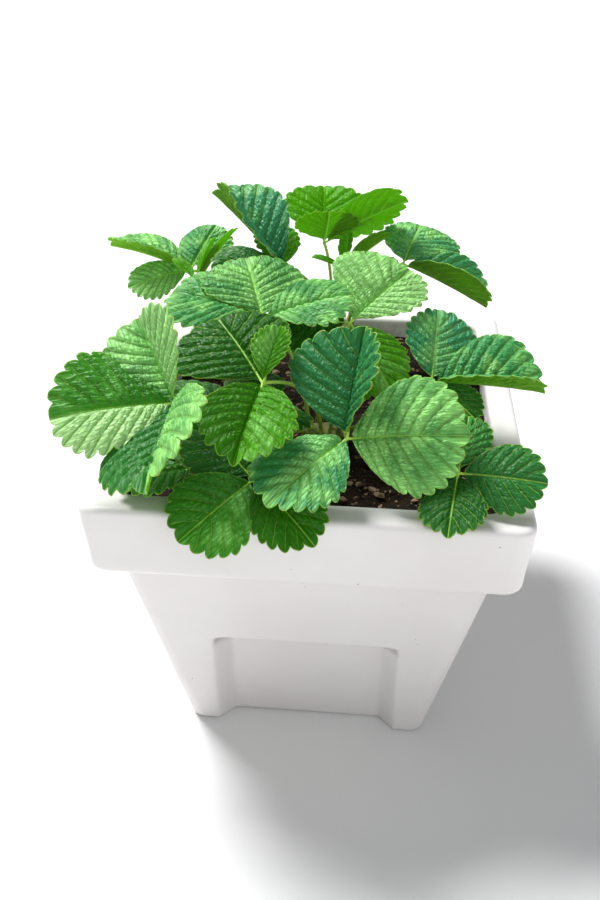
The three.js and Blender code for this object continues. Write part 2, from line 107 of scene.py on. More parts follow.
class Leaf:
    """One leaf: its socket in a crown, the bow and top of its petiole, and its leaflets.

    The socket is degrees round the crown and mm out from its middle. The bow is a share of the
    way out and of the way up. A leaflet's row is the heading, rise, roll and twist of its midrib
    in degrees, its length, the width of its left and right half, how far each half folds up, and
    how far the midrib arches over. Each leaflet's shading and colour row gives how pale with
    painted sunlight, or below 0 how much darker with painted shade, its left and its right half
    are, then how bluish and how young it is.
    """

    def __init__(self, name, crown, socket, bow, top, teeth, leaflets, light_and_tints):
        self.name, self.crown, self.socket, self.bow = name, crown, socket, bow
        self.top, self.teeth, self.leaflets, self.light_and_tints = np.array(top, float), teeth, leaflets, light_and_tints

    def foot(self):
        middle = CROWNS[self.crown][0]
        turn, out = np.radians(self.socket[0]), self.socket[1]
        return np.array((middle[0] + out * np.cos(turn), middle[1] + out * np.sin(turn),
                         SOIL_LEVEL + CROWN_RISE))


LEAVES = [
    Leaf("leaf_front_1", "front", (-150, 12.5), (0.15, 0.8), (-86, -160, 276), 8, [
        (-168, -5, 42, 35, 78, 30, 38, 22, 12, 25),
        (128, 38, 25, 0, 62, 35, 33, 12, 72, 20),
        (-92, -15, -18, 0, 80, 50, 42, 50, 5, 20)],
        [(1.9, -0.3, 0.2, 0.3), (1.1, 1.35, 0.5, 0.1), (1.05, -0.6, 0.6, 0.2)]),
    Leaf("leaf_front_2", "front", (-120, 5.5), (0.15, 0.75), (-33, -134, 281), 8, [
        (125, 19, 15, 0, 66, 46, 38, 15, 12, 25),
        (-100, -24, 0, 0, 66, 34, 30, 30, 45, 20),
        (66, 50, 0, 0, 36, 15, 15, 45, 45, 15)],
        [(-0.9, -0.95, 0.0, 0.15), (0.1, -0.6, 0.0, 0.6), (0.3, -0.3, 0.0, 0.7)]),
    Leaf("leaf_front_3", "front", (-72, 12.5), (0.2, 1.0), (25, -160, 256), 8, [
        (74, 60, -5, 0, 68, 46, 30, 8, 75, 12),
        (-3, 6, -45, 0, 73, 40, 37, 12, 8, 20),
        (-130, -17, 12, 0, 69, 28, 35, 12, 5, 20)],
        [(-0.45, -0.35, 0.75, 0.0), (0.85, 0.95, 0.45, 0.15), (0.45, 0.55, 0.8, 0.1)]),
    Leaf("leaf_front_4", "front", (-98, 12.5), (0.35, 2.2), (-34, -178, 232), 7, [
        (-135, -22, 35, 0, 60, 28, 28, 12, 12, 20),
        (142, 26, 35, 0, 56, 26, 24, 15, 15, 20),
        (-42, -22, -20, 0, 58, 22, 24, 15, 15, 30)],
        [(0.5, -0.55, 0.2, 0.35), (-0.9, -0.85, 0.2, 0.0), (-0.75, -0.75, 0.0, 0.25)]),
    Leaf("leaf_front_5", "front", (-40, 12.5), (0.35, 1.6), (98, -166, 238), 7, [
        (-8, 0, -42, 0, 52, 23, 23, 12, 10, 20),
        (-98, -24, 0, 0, 46, 21, 20, 20, 6, 20),
        (80, 28, -10, 0, 42, 17, 17, 20, 20, 20)],
        [(-0.65, -0.7, 0.5, 0.0), (-0.9, -0.85, 0.4, 0.0), (-0.6, -0.5, 0.3, 0.0)]),
    Leaf("leaf_front_6", "front", (-4, 12.5), (0.25, 1.0), (81, -70, 260), 8, [
        (2, -4, -42, 0, 76, 42, 24, 8, 96, 20),
        (86, 42, -15, 0, 54, 21, 29, 12, 12, 15),
        (-35, -25, -20, 0, 40, 17, 18, 15, 15, 20)],
        [(0.35, -0.1, 0.75, 0.15), (0.2, 0.1, 0.9, 0.0), (-0.7, -0.7, 0.3, 0.1)]),
    Leaf("leaf_front_7", "front", (180, 12.5), (0.15, 0.75), (-42, -60, 299), 8, [
        (165, 8, 15, 0, 68, 38, 40, 22, 12, 15),
        (110, 26, 0, 0, 58, 36, 36, 12, 15, 15),
        (15, 12, -20, 0, 62, 29, 30, 12, 26, 15)],
        [(0.5, 0.6, 0.65, 0.15), (0.7, 0.8, 0.5, 0.15), (0.55, 0.65, 0.6, 0.15)]),
    Leaf("leaf_front_8", "front", (50, 6), (0.15, 0.75), (20, -42, 292), 8, [
        (48, 22, -24, 0, 64, 46, 30, 12, 30, 20),
        (-50, -36, -20, 0, 61, 23, 28, 12, 15, 25),
        (170, -5, 40, 0, 56, 26, 26, 15, 15, 20)],
        [(1.15, 1.35, 0.2, 0.3), (-0.15, 0.2, 0.0, 0.7), (-0.95, -0.95, 0.1, 0.1)]),
    Leaf("leaf_front_9", "front", (-124, 12.5), (0.4, 2.0), (-76, -158, 227), 6, [
        (-152, -2, 6, 0, 50, 20, 19, 15, 10, 15),
        (125, 6, 0, 0, 34, 15, 14, 15, 15, 15),
        (-80, -2, 0, 0, 24, 10, 10, 15, 15, 15)],
        [(-0.5, -0.5, 0.1, 0.2), (-0.7, -0.7, 0.2, 0.1), (-0.7, -0.7, 0.2, 0.1)]),
    Leaf("leaf_front_10", "front", (150, 12.5), (0.4, 1.4), (-57, -96, 241), 6, [
        (160, 2, 0, 0, 58, 28, 28, 15, 15, 20),
        (-22, 0, 0, 0, 54, 20, 18, 14, 14, 20),
        (72, 12, 0, 0, 46, 22, 22, 15, 15, 20)],
        [(-0.8, -0.8, 0.1, 0.1), (-0.8, -0.8, 0.1, 0.1), (-0.8, -0.8, 0.1, 0.1)]),
    Leaf("leaf_back_1", "back", (-112, 12), (0.15, 0.75), (-39, 60, 299), 8, [
        (152, 36, 45, -40, 82, 34, 38, 100, 10, 20),
        (110, 30, 0, 0, 45, 18, 18, 15, 15, 20),
        (200, 4, 20, 0, 56, 24, 24, 15, 15, 20)],
        [(0.15, 0.0, 0.9, 0.0), (-0.2, 0.0, 0.0, 0.7), (-0.6, -0.6, 0.4, 0.1)]),
    Leaf("leaf_back_2", "back", (0, 0), (0.15, 0.75), (-11, 120, 304), 7, [
        (95, 45, 0, 0, 50, 34, 34, 25, 25, 15),
        (-78, 50, 0, 0, 40, 26, 26, 20, 20, -20),
        (12, 26, 45, 0, 74, 34, 40, 20, 15, 15)],
        [(0.0, 0.0, 0.0, 1.3), (0.0, 0.0, 0.0, 1.0), (0.0, 0.15, 0.0, 1.0)]),
    Leaf("leaf_back_3", "back", (-25, 12), (0.15, 0.75), (58, 110, 291), 8, [
        (76, 18, -8, 0, 56, 26, 39, 14, 10, 15),
        (-2, -26, -50, 0, 76, 30, 32, 10, 108, 20),
        (168, -8, 0, 0, 36, 17, 17, 15, 15, 20)],
        [(0.75, 0.65, 0.9, 0.0), (0.3, 0.3, 0.9, 0.1), (-0.7, -0.7, 0.2, 0.0)]),
    Leaf("leaf_back_4", "back", (-178, 12), (0.15, 0.75), (-125, 100, 281), 8, [
        (165, 10, 20, 0, 72, 30, 24, 70, 20, 20),
        (67, 32, 0, 0, 48, 24, 24, 12, 12, 20),
        (-160, -12, 30, 0, 50, 20, 20, 12, 12, 25)],
        [(1.0, 1.0, 0.6, 0.1), (0.6, 0.5, 0.8, 0.1), (1.35, 1.25, 0.4, 0.3)]),
    Leaf("leaf_back_5", "back", (-146, 12), (0.15, 0.75), (-114, 72, 280), 4, [
        (50, 58, 30, 0, 36, 9, 9, 40, 40, 10),
        (38, 46, 30, 0, 52, 9, 9, 50, 50, 10),
        (150, 30, 0, 0, 26, 7, 7, 40, 40, 10)],
        [(0.6, 0.6, 0.0, 1.0), (0.9, 0.9, 0.0, 1.0), (0.5, 0.5, 0.0, 1.0)]),
    Leaf("leaf_back_6", "back", (-72, 12), (0.15, 0.75), (8, 112, 284), 4, [
        (80, 60, 30, 0, 28, 8, 8, 40, 40, 10),
        (14, 36, 40, 0, 44, 14, 14, 40, 40, 10),
        (190, 20, 0, 0, 26, 7, 7, 40, 40, 10)],
        [(0.2, 0.2, 0.1, 0.9), (0.4, 0.4, 0.1, 1.0), (0.3, 0.3, 0.1, 0.9)]),
]

# ----------------------------------------------------------------------------- mesh building


class Build:
    """Gathers points, faces and marks for one mesh. A mark is a value or vector at each point."""

    def __init__(self):
        self.points, self.faces, self.slots, self.marks = [], [], [], {}
        self.count = 0

    def add(self, points, faces, slots=0, **marks):
        points = np.asarray(points, float)
        faces = [[int(i) + self.count for i in face] for face in faces]
        self.points.append(points)
        self.faces += faces
        self.slots += [slots] * len(faces) if isinstance(slots, int) else list(slots)
        for name, values in marks.items():
            values = np.asarray(values, float)
            if values.ndim == 0:
                values = np.full(len(points), values)
            self.marks.setdefault(name, []).append((self.count, values))
        self.count += len(points)

    def make(self, name, *materials, smooth=True):
        mesh = bpy.data.meshes.new(name)
        points = np.concatenate(self.points) * MM
        mesh.from_pydata(points.tolist(), [], self.faces)
        for mark, chunks in self.marks.items():
            width = 3 if chunks[0][1].ndim == 2 else 1
            values = np.zeros((self.count, width), np.float32)
            for start, chunk in chunks:
                values[start:start + len(chunk)] = chunk.reshape(len(chunk), width)
            kind, field = ("FLOAT_VECTOR", "vector") if width == 3 else ("FLOAT", "value")
            mesh.attributes.new(mark, kind, "POINT").data.foreach_set(field, values.ravel())
        for material in materials:
            mesh.materials.append(material)
        mesh.polygons.foreach_set("material_index", self.slots)
        mesh.polygons.foreach_set("use_smooth", [smooth] * len(self.faces))
        mesh.validate(clean_customdata=False)
        mesh.update()
        piece = bpy.data.objects.new(name, mesh)
        bpy.context.scene.collection.objects.link(piece)
        return piece


def finish_piece(piece, slot, *nodes):
    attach(piece, "root")
    if nodes:
        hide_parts(*nodes)


def smoothstep(value, low=0.0, high=1.0):
    t = np.clip((value - low) / (high - low), 0, 1)
    return t * t * (3 - 2 * t)


def loft_faces(ring_count, ring_size, closed=True):
    """Quads between rings of points, counted ring by ring."""
    faces = []
    for r in range(ring_count - 1):
        for i in range(ring_size if closed else ring_size - 1):
            a, b = r * ring_size + i, r * ring_size + (i + 1) % ring_size
            faces.append((a, b, b + ring_size, a + ring_size))
    return faces


def closed_loft(ring_count, ring_size):
    """The faces between rings, with the first and the last ring closed."""
    first = range(ring_size)
    last = range((ring_count - 1) * ring_size, ring_count * ring_size)
    return loft_faces(ring_count, ring_size) + [tuple(first)[::-1], tuple(last)]


def tube(points, radii, sides):
    """A closed tube through points, and how far along it each of its own points lies."""
    points = np.asarray(points, float)
    ahead = np.gradient(points, axis=0)
    ahead /= np.linalg.norm(ahead, axis=1)[:, None]
    side = np.array((1.0, 0.0, 0.0))
    rings = []
    for point, forward, radius in zip(points, ahead, radii):
        side = side - forward * side.dot(forward)
        side /= np.linalg.norm(side)
        other = np.cross(forward, side)
        turn = 2 * np.pi * np.arange(sides)[:, None] / sides
        rings.append(point + radius * (np.cos(turn) * side + np.sin(turn) * other))
    run = np.repeat(np.linspace(0, 1, len(points)), sides)
    return np.concatenate(rings), closed_loft(len(points), sides), run


def hashed(i, j, seed):
    """Even numbers from 0 to 1 for whole numbers i and j, the same on every run."""
    mixed = np.sin(i * 127.1 + j * 311.7 + seed * 74.7) * 43758.5453
    return mixed - np.floor(mixed)


def value_noise(x, y, seed):
    i, j = np.floor(x), np.floor(y)
    u, v = smoothstep(x - i), smoothstep(y - j)
    low = hashed(i, j, seed) * (1 - u) + hashed(i + 1, j, seed) * u
    high = hashed(i, j + 1, seed) * (1 - u) + hashed(i + 1, j + 1, seed) * u
    return low * (1 - v) + high * v


def cell_domes(x, y, seed):
    """Rounded cells parted by grooves: 0 in a groove, up to 1 on a cell."""
    i, j = np.floor(x), np.floor(y)
    near = np.full(x.shape, 9.0)
    second = np.full(x.shape, 9.0)
    for di in (-1, 0, 1):
        for dj in (-1, 0, 1):
            px = i + di + 0.15 + 0.7 * hashed(i + di, j + dj, seed)
            py = j + dj + 0.15 + 0.7 * hashed(i + di, j + dj, seed + 5)
            distance = np.hypot(x - px, y - py)
            second = np.minimum(second, np.maximum(near, distance))
            near = np.minimum(near, distance)
    return smoothstep(second - near, 0.0, 0.4)


# ------------------------------------------------------------------------------- node groups


class Nodes:
    """Short ways to add and join nodes in one tree."""

    def __init__(self, tree):
        self.tree = tree

    def add(self, kind, settings=None, **inputs):
        node = self.tree.nodes.new(kind)
        for name, value in (settings or {}).items():
            setattr(node, name, value)
        for name, value in inputs.items():
            self.put(node, name.replace("_", " "), value)
        return node

    def put(self, node, name, value):
        socket = node.inputs[int(name)] if name.isdigit() else node.inputs[name]
        if isinstance(value, bpy.types.NodeSocket):
            self.tree.links.new(value, socket)
        else:
            socket.default_value = value

    def math(self, operation, first, second=0.0, clamp=False):
        node = self.tree.nodes.new("ShaderNodeMath")
        node.operation, node.use_clamp = operation, clamp
        self.put(node, "0", first)
        self.put(node, "1", second)
        return node.outputs[0]

    def ramp(self, value, low, high, to_low=0.0, to_high=1.0):
        """value from low to high, eased, as to_low to to_high."""
        node = self.tree.nodes.new("ShaderNodeMapRange")
        node.interpolation_type = "SMOOTHSTEP"
        for name, given in (("Value", value), ("From Min", low), ("From Max", high),
                            ("To Min", to_low), ("To Max", to_high)):
            self.put(node, name, given)
        return node.outputs["Result"]

    def mix(self, factor, first, second):
        node = self.tree.nodes.new("ShaderNodeMix")
        node.data_type = "RGBA"
        self.put(node, "0", factor)
        self.put(node, "6", first)
        self.put(node, "7", second)
        return node.outputs[2]

    def over(self, tone, mask, share, second):
        """second over tone, by a share of the mask."""
        return self.mix(self.math("MULTIPLY", mask, share), tone, second)

    def times_and_add(self, first, factor, added):
        node = self.tree.nodes.new("ShaderNodeMath")
        node.operation = "MULTIPLY_ADD"
        for name, value in (("0", first), ("1", factor), ("2", added)):
            self.put(node, name, value)
        return node.outputs[0]

    def noise(self, vector, scale, detail=3.0, rough=0.5):
        node = self.add("ShaderNodeTexNoise", Scale=scale, Detail=detail, Roughness=rough)
        self.put(node, "Vector", vector)
        return node.outputs["Factor" if "Factor" in node.outputs else "Fac"]

    def attribute(self, name, output="Vector"):
        return self.add("ShaderNodeAttribute", {"attribute_name": name}).outputs[output]

    def place(self):
        return self.add("ShaderNodeTexCoord").outputs["Object"]


def colour(red, green, blue):
    return (red, green, blue, 1.0)


def new_group(name, inputs, outputs):
    tree = bpy.data.node_groups.new(name, "ShaderNodeTree")
    for socket, kind, value in inputs:
        made = tree.interface.new_socket(socket, in_out="INPUT", socket_type=kind)
        if value is not None:
            made.default_value = value
    for socket, kind in outputs:
        tree.interface.new_socket(socket, in_out="OUTPUT", socket_type=kind)
    nodes = Nodes(tree)
    return tree, nodes, nodes.add("NodeGroupInput").outputs, nodes.add("NodeGroupOutput")


def use_group(nodes, tree, **values):
    node = nodes.add("ShaderNodeGroup", {"node_tree": tree})
    for name, value in values.items():
        nodes.put(node, name.replace("_", " "), value)
    return node.outputs


def make_mottle_group():
    """Soft blotches and fine grain, for any surface that isn't one even colour."""
    tree, nodes, given, out = new_group(
        "mottle",
        [("Vector", "NodeSocketVector", None), ("Blotch", "NodeSocketFloat", 20.0),
         ("Grain", "NodeSocketFloat", 400.0)],
        [("Blotches", "NodeSocketFloat"), ("Fine", "NodeSocketFloat")])
    nodes.put(out, "Blotches", nodes.ramp(nodes.noise(given["Vector"], given["Blotch"], 4.0), 0.3, 0.7))
    nodes.put(out, "Fine", nodes.noise(given["Vector"], given["Grain"], 2.0, 0.6))
    return tree


def make_speck_group():
    """Small scattered specks of dirt or dust."""
    tree, nodes, given, out = new_group(
        "specks",
        [("Vector", "NodeSocketVector", None), ("Spacing", "NodeSocketFloat", 60.0),
         ("Size", "NodeSocketFloat", 0.1), ("Share", "NodeSocketFloat", 0.3)],
        [("Specks", "NodeSocketFloat")])
    cells = nodes.add("ShaderNodeTexVoronoi", Scale=given["Spacing"], Vector=given["Vector"])
    tone = nodes.add("ShaderNodeSeparateColor", Color=cells.outputs["Color"]).outputs[0]
    chosen = nodes.math("LESS_THAN", tone, given["Share"])
    size = nodes.math("MULTIPLY", given["Size"], nodes.math("ADD", tone, 0.4))
    dot = nodes.math("LESS_THAN", cells.outputs["Distance"], size)
    nodes.put(out, "Specks", nodes.math("MULTIPLY", dot, chosen))
    return tree


def make_vein_group():
    """The midrib, side veins and netted veinlets of a leaflet.

    Plane is mm along and across the leaflet with its seed. Veins is the count of side veins
    passed, their spacing in mm, and the distance in mm from the margin.
    """
    tree, nodes, given, out = new_group(
        "leaf veins",
        [("Plane", "NodeSocketVector", None), ("Veins", "NodeSocketVector", None),
         ("Midrib", "NodeSocketFloat", 1.0), ("Side", "NodeSocketFloat", 0.5),
         ("Cell", "NodeSocketFloat", 2.2)],
        [("Ribs", "NodeSocketFloat"), ("Net", "NodeSocketFloat"), ("Cells", "NodeSocketFloat"),
         ("Edge", "NodeSocketFloat"), ("Tips", "NodeSocketFloat"), ("Crease", "NodeSocketFloat")])
    along, across, seed = nodes.add("ShaderNodeSeparateXYZ", Vector=given["Plane"]).outputs
    passed, spacing, margin = nodes.add("ShaderNodeSeparateXYZ", Vector=given["Veins"]).outputs
    wobble = nodes.times_and_add(nodes.noise(given["Plane"], 0.22, 2.0), 0.16, -0.08)
    share = nodes.math("FRACT", nodes.math("ADD", nodes.math("SUBTRACT", passed, 0.16), wobble))
    apart = nodes.math("MULTIPLY", nodes.math("ABSOLUTE", nodes.math("SUBTRACT", share, 0.5)), spacing)
    # Crease marks the flanks of each side vein, where the upper face gets painted shade.
    nodes.put(out, "Crease", nodes.ramp(apart, 1.5, 0.2))
    side = nodes.ramp(apart, given["Side"], nodes.math("MULTIPLY", given["Side"], 0.3))
    side = nodes.math("MULTIPLY", side, nodes.ramp(margin, 0.5, 4.0))
    width = nodes.math("MULTIPLY", given["Midrib"], nodes.ramp(along, 0.0, 90.0, 1.0, 0.3))
    off = nodes.math("ABSOLUTE", across)
    midrib = nodes.ramp(off, width, nodes.math("MULTIPLY", width, 0.4))
    nodes.put(out, "Ribs", nodes.math("MAXIMUM", midrib, nodes.math("MULTIPLY", side, 0.5)))
    row = nodes.math("DIVIDE", nodes.math("MULTIPLY", passed, nodes.math("MULTIPLY", spacing, 0.72)),
                     given["Cell"])
    reach = nodes.math("DIVIDE", across, nodes.math("MULTIPLY", given["Cell"], 0.75))
    rows = nodes.add("ShaderNodeCombineXYZ", X=row, Y=reach, Z=seed).outputs[0]
    net = nodes.add("ShaderNodeTexVoronoi", {"feature": "DISTANCE_TO_EDGE"},
                    Vector=rows, Scale=1.0, Randomness=0.85)
    nodes.put(out, "Net", nodes.ramp(net.outputs["Distance"], 0.24, 0.0))
    nodes.put(out, "Cells", nodes.ramp(net.outputs["Distance"], 0.0, 0.4))
    nodes.put(out, "Edge", nodes.ramp(margin, 0.75, 0.25))
    near_tip = nodes.math("ABSOLUTE", nodes.math("SUBTRACT", share, 0.5))
    tip = nodes.math("MULTIPLY", nodes.ramp(near_tip, 0.12, 0.05), nodes.ramp(margin, 1.3, 0.5))
    chosen = nodes.ramp(hash_of(nodes, seed, passed), 0.35, 0.5)
    nodes.put(out, "Tips", nodes.math("MULTIPLY", tip, chosen))
    return tree


def hash_of(nodes, seed, passed):
    """A number from 0 to 1 for each tooth."""
    whole = nodes.math("FLOOR", nodes.math("SUBTRACT", passed, 0.08))
    noise = nodes.add("ShaderNodeTexWhiteNoise", {"noise_dimensions": "2D"},
                      Vector=nodes.add("ShaderNodeCombineXYZ", X=whole, Y=seed).outputs[0])
    return noise.outputs["Value"]


MOTTLE = make_mottle_group()
SPECKS = make_speck_group()
LEAF_VEINS = make_vein_group()

# --------------------------------------------------------------------------------- materials


def new_material(name):
    material = bpy.data.materials.new(name)
    material.use_nodes = True
    nodes = Nodes(material.node_tree)
    shader = material.node_tree.nodes["Principled BSDF"]
    return material, nodes, shader


def coat(nodes, shader, tone, grain, smooth, rough):
    """The colour of a surface, and its roughness between two values by its grain."""
    nodes.put(shader, "Base Color", tone)
    nodes.put(shader, "Roughness", nodes.ramp(grain, 0.3, 0.7, smooth, rough))


def bump(nodes, shader, height, distance, strength=1.0):
    node = nodes.add("ShaderNodeBump", Strength=strength, Distance=distance * MM, Height=height)
    nodes.put(shader, "Normal", node.outputs["Normal"])


def let_light_through(material, nodes, shader, tone, share):
    """Part of the light that falls on a leaf comes out on its other side."""
    through = nodes.add("ShaderNodeBsdfTranslucent", Color=tone)
    mixed = nodes.add("ShaderNodeMixShader", Fac=share)
    nodes.put(mixed, "1", shader.outputs["BSDF"])
    nodes.put(mixed, "2", through.outputs["BSDF"])
    nodes.put(material.node_tree.nodes["Material Output"], "Surface", mixed.outputs["Shader"])


def leaf_top_material():
    material, nodes, shader = new_material("leaf top")
    plane, veins = nodes.attribute("leaf_plane"), nodes.attribute("leaf_veins")
    light_and_tint = nodes.attribute("leaf_tint")
    pale, bluish, young = nodes.add("ShaderNodeSeparateXYZ", Vector=light_and_tint).outputs
    net = use_group(nodes, LEAF_VEINS, Plane=plane, Veins=veins, Midrib=0.85, Side=0.34, Cell=3.0)
    patch = use_group(nodes, MOTTLE, Vector=plane, Blotch=0.05, Grain=1.6)
    green = nodes.mix(patch["Blotches"], colour(0.032, 0.240, 0.009), colour(0.095, 0.420, 0.022))
    green = nodes.mix(bluish, green, colour(0.060, 0.370, 0.170))
    green = nodes.over(green, young, 0.7, colour(0.200, 0.620, 0.006))
    # pale above 0 is painted sunlight and below 0 painted shade: a darker green for shaded leaflets,
    # pale sun patches broken up by the blotches, and a whitish painted highlight where pale passes 1.
    painted_leaf_shade = nodes.math("MULTIPLY", pale, -0.9, clamp=True)
    green = nodes.mix(painted_leaf_shade, green, colour(0.008, 0.085, 0.002))
    painted_sun_patches = nodes.math("ADD", pale, nodes.ramp(patch["Blotches"], 0.0, 1.0, -0.55, 0.5))
    painted_sun_patches = nodes.math("MULTIPLY", painted_sun_patches, 0.7, clamp=True)
    green = nodes.mix(painted_sun_patches, green, colour(0.430, 0.960, 0.260))
    painted_highlight = nodes.math("SUBTRACT", pale, 1.0, clamp=True)
    green = nodes.over(green, painted_highlight, 0.9, colour(0.680, 1.000, 0.470))
    # Painted shade: a darker green in the creases along the side veins and in the veinlet net.
    shade_green = nodes.mix(0.7, green, colour(0.003, 0.075, 0.001))
    crease_shade = nodes.math("MAXIMUM", nodes.math("MULTIPLY", net["Net"], 0.6),
                      nodes.math("MULTIPLY", net["Crease"], 0.8))
    green = nodes.mix(crease_shade, green, shade_green)
    green = nodes.over(green, net["Ribs"], 0.7, colour(0.46, 0.80, 0.12))
    green = nodes.over(green, net["Edge"], 0.45, colour(0.42, 0.80, 0.08))
    green = nodes.over(green, net["Tips"], 0.45, colour(0.45, 0.16, 0.05))
    coat(nodes, shader, green, patch["Fine"], 0.33, 0.46)
    shader.inputs["Specular IOR Level"].default_value = 0.22
    height = nodes.times_and_add(patch["Fine"], 0.2, net["Cells"])
    bump(nodes, shader, height, 0.6)
    through = nodes.times_and_add(young, 0.35, 0.12)
    let_light_through(material, nodes, shader, nodes.mix(0.6, green, colour(0.35, 1.00, 0.01)), through)
    return material


def leaf_underside_material():
    material, nodes, shader = new_material("leaf underside")
    plane, veins = nodes.attribute("leaf_plane"), nodes.attribute("leaf_veins")
    light_and_tint = nodes.attribute("leaf_tint")
    pale, bluish, young = nodes.add("ShaderNodeSeparateXYZ", Vector=light_and_tint).outputs
    # pale is painted sunlight here too: the underside gets a paler green where the sun falls, and no
    # painted shade.
    pale = nodes.math("MAXIMUM", pale, 0.0)
    net = use_group(nodes, LEAF_VEINS, Plane=plane, Veins=veins, Midrib=1.3, Side=0.7, Cell=2.0)
    patch = use_group(nodes, MOTTLE, Vector=plane, Blotch=0.06, Grain=2.2)
    green = nodes.mix(patch["Blotches"], colour(0.190, 0.460, 0.020), colour(0.260, 0.580, 0.030))
    green = nodes.over(green, bluish, 0.25, colour(0.14, 0.36, 0.09))
    green = nodes.over(green, young, 0.9, colour(0.115, 0.290, 0.003))
    green = nodes.over(green, pale, 0.3, colour(0.45, 0.80, 0.06))
    green = nodes.over(green, net["Net"], 0.2, colour(0.30, 0.56, 0.06))
    green = nodes.over(green, net["Ribs"], 0.6, colour(0.60, 0.90, 0.20))
    green = nodes.over(green, net["Edge"], 0.5, colour(0.60, 0.95, 0.12))
    green = nodes.over(green, net["Tips"], 0.5, colour(0.42, 0.12, 0.04))
    coat(nodes, shader, green, patch["Fine"], 0.55, 0.75)
    shader.inputs["Specular IOR Level"].default_value = 0.3
    height = nodes.times_and_add(net["Net"], 0.6, nodes.math("MULTIPLY", patch["Fine"], 0.5))
    bump(nodes, shader, height, 0.3, 0.8)
    let_light_through(material, nodes, shader, nodes.mix(0.5, green, colour(0.60, 1.00, 0.02)), 0.55)
    return material


def petiole_material():
    material, nodes, shader = new_material("petiole")
    run = nodes.attribute("stem_run", "Fac")
    ruddy = nodes.attribute("stem_ruddy", "Fac")
    patch = use_group(nodes, MOTTLE, Vector=nodes.place(), Blotch=60.0, Grain=900.0)
    green = nodes.mix(patch["Blotches"], colour(0.30, 0.58, 0.05), colour(0.42, 0.72, 0.08))
    green = nodes.mix(nodes.ramp(run, 0.75, 1.0, 0.0, 0.6), green, colour(0.55, 0.84, 0.12))
    green = nodes.over(green, ruddy, nodes.ramp(run, 0.6, 0.0, 0.0, 0.7), colour(0.26, 0.085, 0.035))
    coat(nodes, shader, green, patch["Fine"], 0.42, 0.6)
    bump(nodes, shader, patch["Fine"], 0.15)
    shader.inputs["Subsurface Weight"].default_value = 0.1
    shader.inputs["Subsurface Radius"].default_value = (0.002, 0.003, 0.0005)
    return material


def hair_material():
    material, nodes, shader = new_material("plant hair")
    tone = use_group(nodes, MOTTLE, Vector=nodes.place(), Blotch=300.0, Grain=900.0)["Blotches"]
    nodes.put(shader, "Base Color", nodes.mix(tone, colour(0.62, 0.68, 0.42), colour(0.78, 0.80, 0.62)))
    shader.inputs["Roughness"].default_value = 0.5
    return material


def crown_material():
    material, nodes, shader = new_material("crown")
    run = nodes.attribute("stem_run", "Fac")
    patch = use_group(nodes, MOTTLE, Vector=nodes.place(), Blotch=70.0, Grain=700.0)
    tone = nodes.mix(patch["Blotches"], colour(0.075, 0.075, 0.016), colour(0.16, 0.17, 0.03))
    tone = nodes.mix(nodes.ramp(run, 0.15, 0.75), tone, colour(0.17, 0.24, 0.035))
    tone = nodes.mix(nodes.ramp(run, 0.7, 1.0, 0.0, 0.8), tone, colour(0.22, 0.11, 0.04))
    coat(nodes, shader, tone, patch["Fine"], 0.5, 0.75)
    bump(nodes, shader, patch["Fine"], 0.4)
    return material


def soil_material():
    material, nodes, shader = new_material("soil")
    place = nodes.place()
    patch = use_group(nodes, MOTTLE, Vector=place, Blotch=90.0, Grain=1500.0)
    clods = use_group(nodes, MOTTLE, Vector=place, Blotch=420.0, Grain=800.0)
    tone = nodes.mix(patch["Blotches"], colour(0.005, 0.003, 0.001), colour(0.020, 0.010, 0.004))
    lifted = nodes.ramp(clods["Blotches"], 0.55, 1.0, 0.0, 0.5)
    tone = nodes.mix(lifted, tone, colour(0.060, 0.032, 0.016))
    grit = use_group(nodes, SPECKS, Vector=place, Spacing=330.0, Size=0.5, Share=0.16)["Specks"]
    tone = nodes.over(tone, grit, 0.55, colour(0.30, 0.19, 0.11))
    coat(nodes, shader, tone, clods["Fine"], 0.75, 0.98)
    height = nodes.math("ADD", patch["Fine"], nodes.math("MULTIPLY", clods["Blotches"], 1.2))
    bump(nodes, shader, height, 1.0)
    shader.inputs["Specular IOR Level"].default_value = 0.15
    return material


def chip_material():
    material, nodes, shader = new_material("bark chips")
    tone = nodes.attribute("chip_tone", "Fac")
    patch = use_group(nodes, MOTTLE, Vector=nodes.place(), Blotch=260.0, Grain=1600.0)
    wood = nodes.mix(tone, colour(0.10, 0.048, 0.024), colour(0.42, 0.27, 0.16))
    wood = nodes.over(wood, patch["Blotches"], 0.5, colour(0.07, 0.04, 0.025))
    coat(nodes, shader, wood, patch["Fine"], 0.65, 0.9)
    bump(nodes, shader, patch["Fine"], 0.6)
    return material


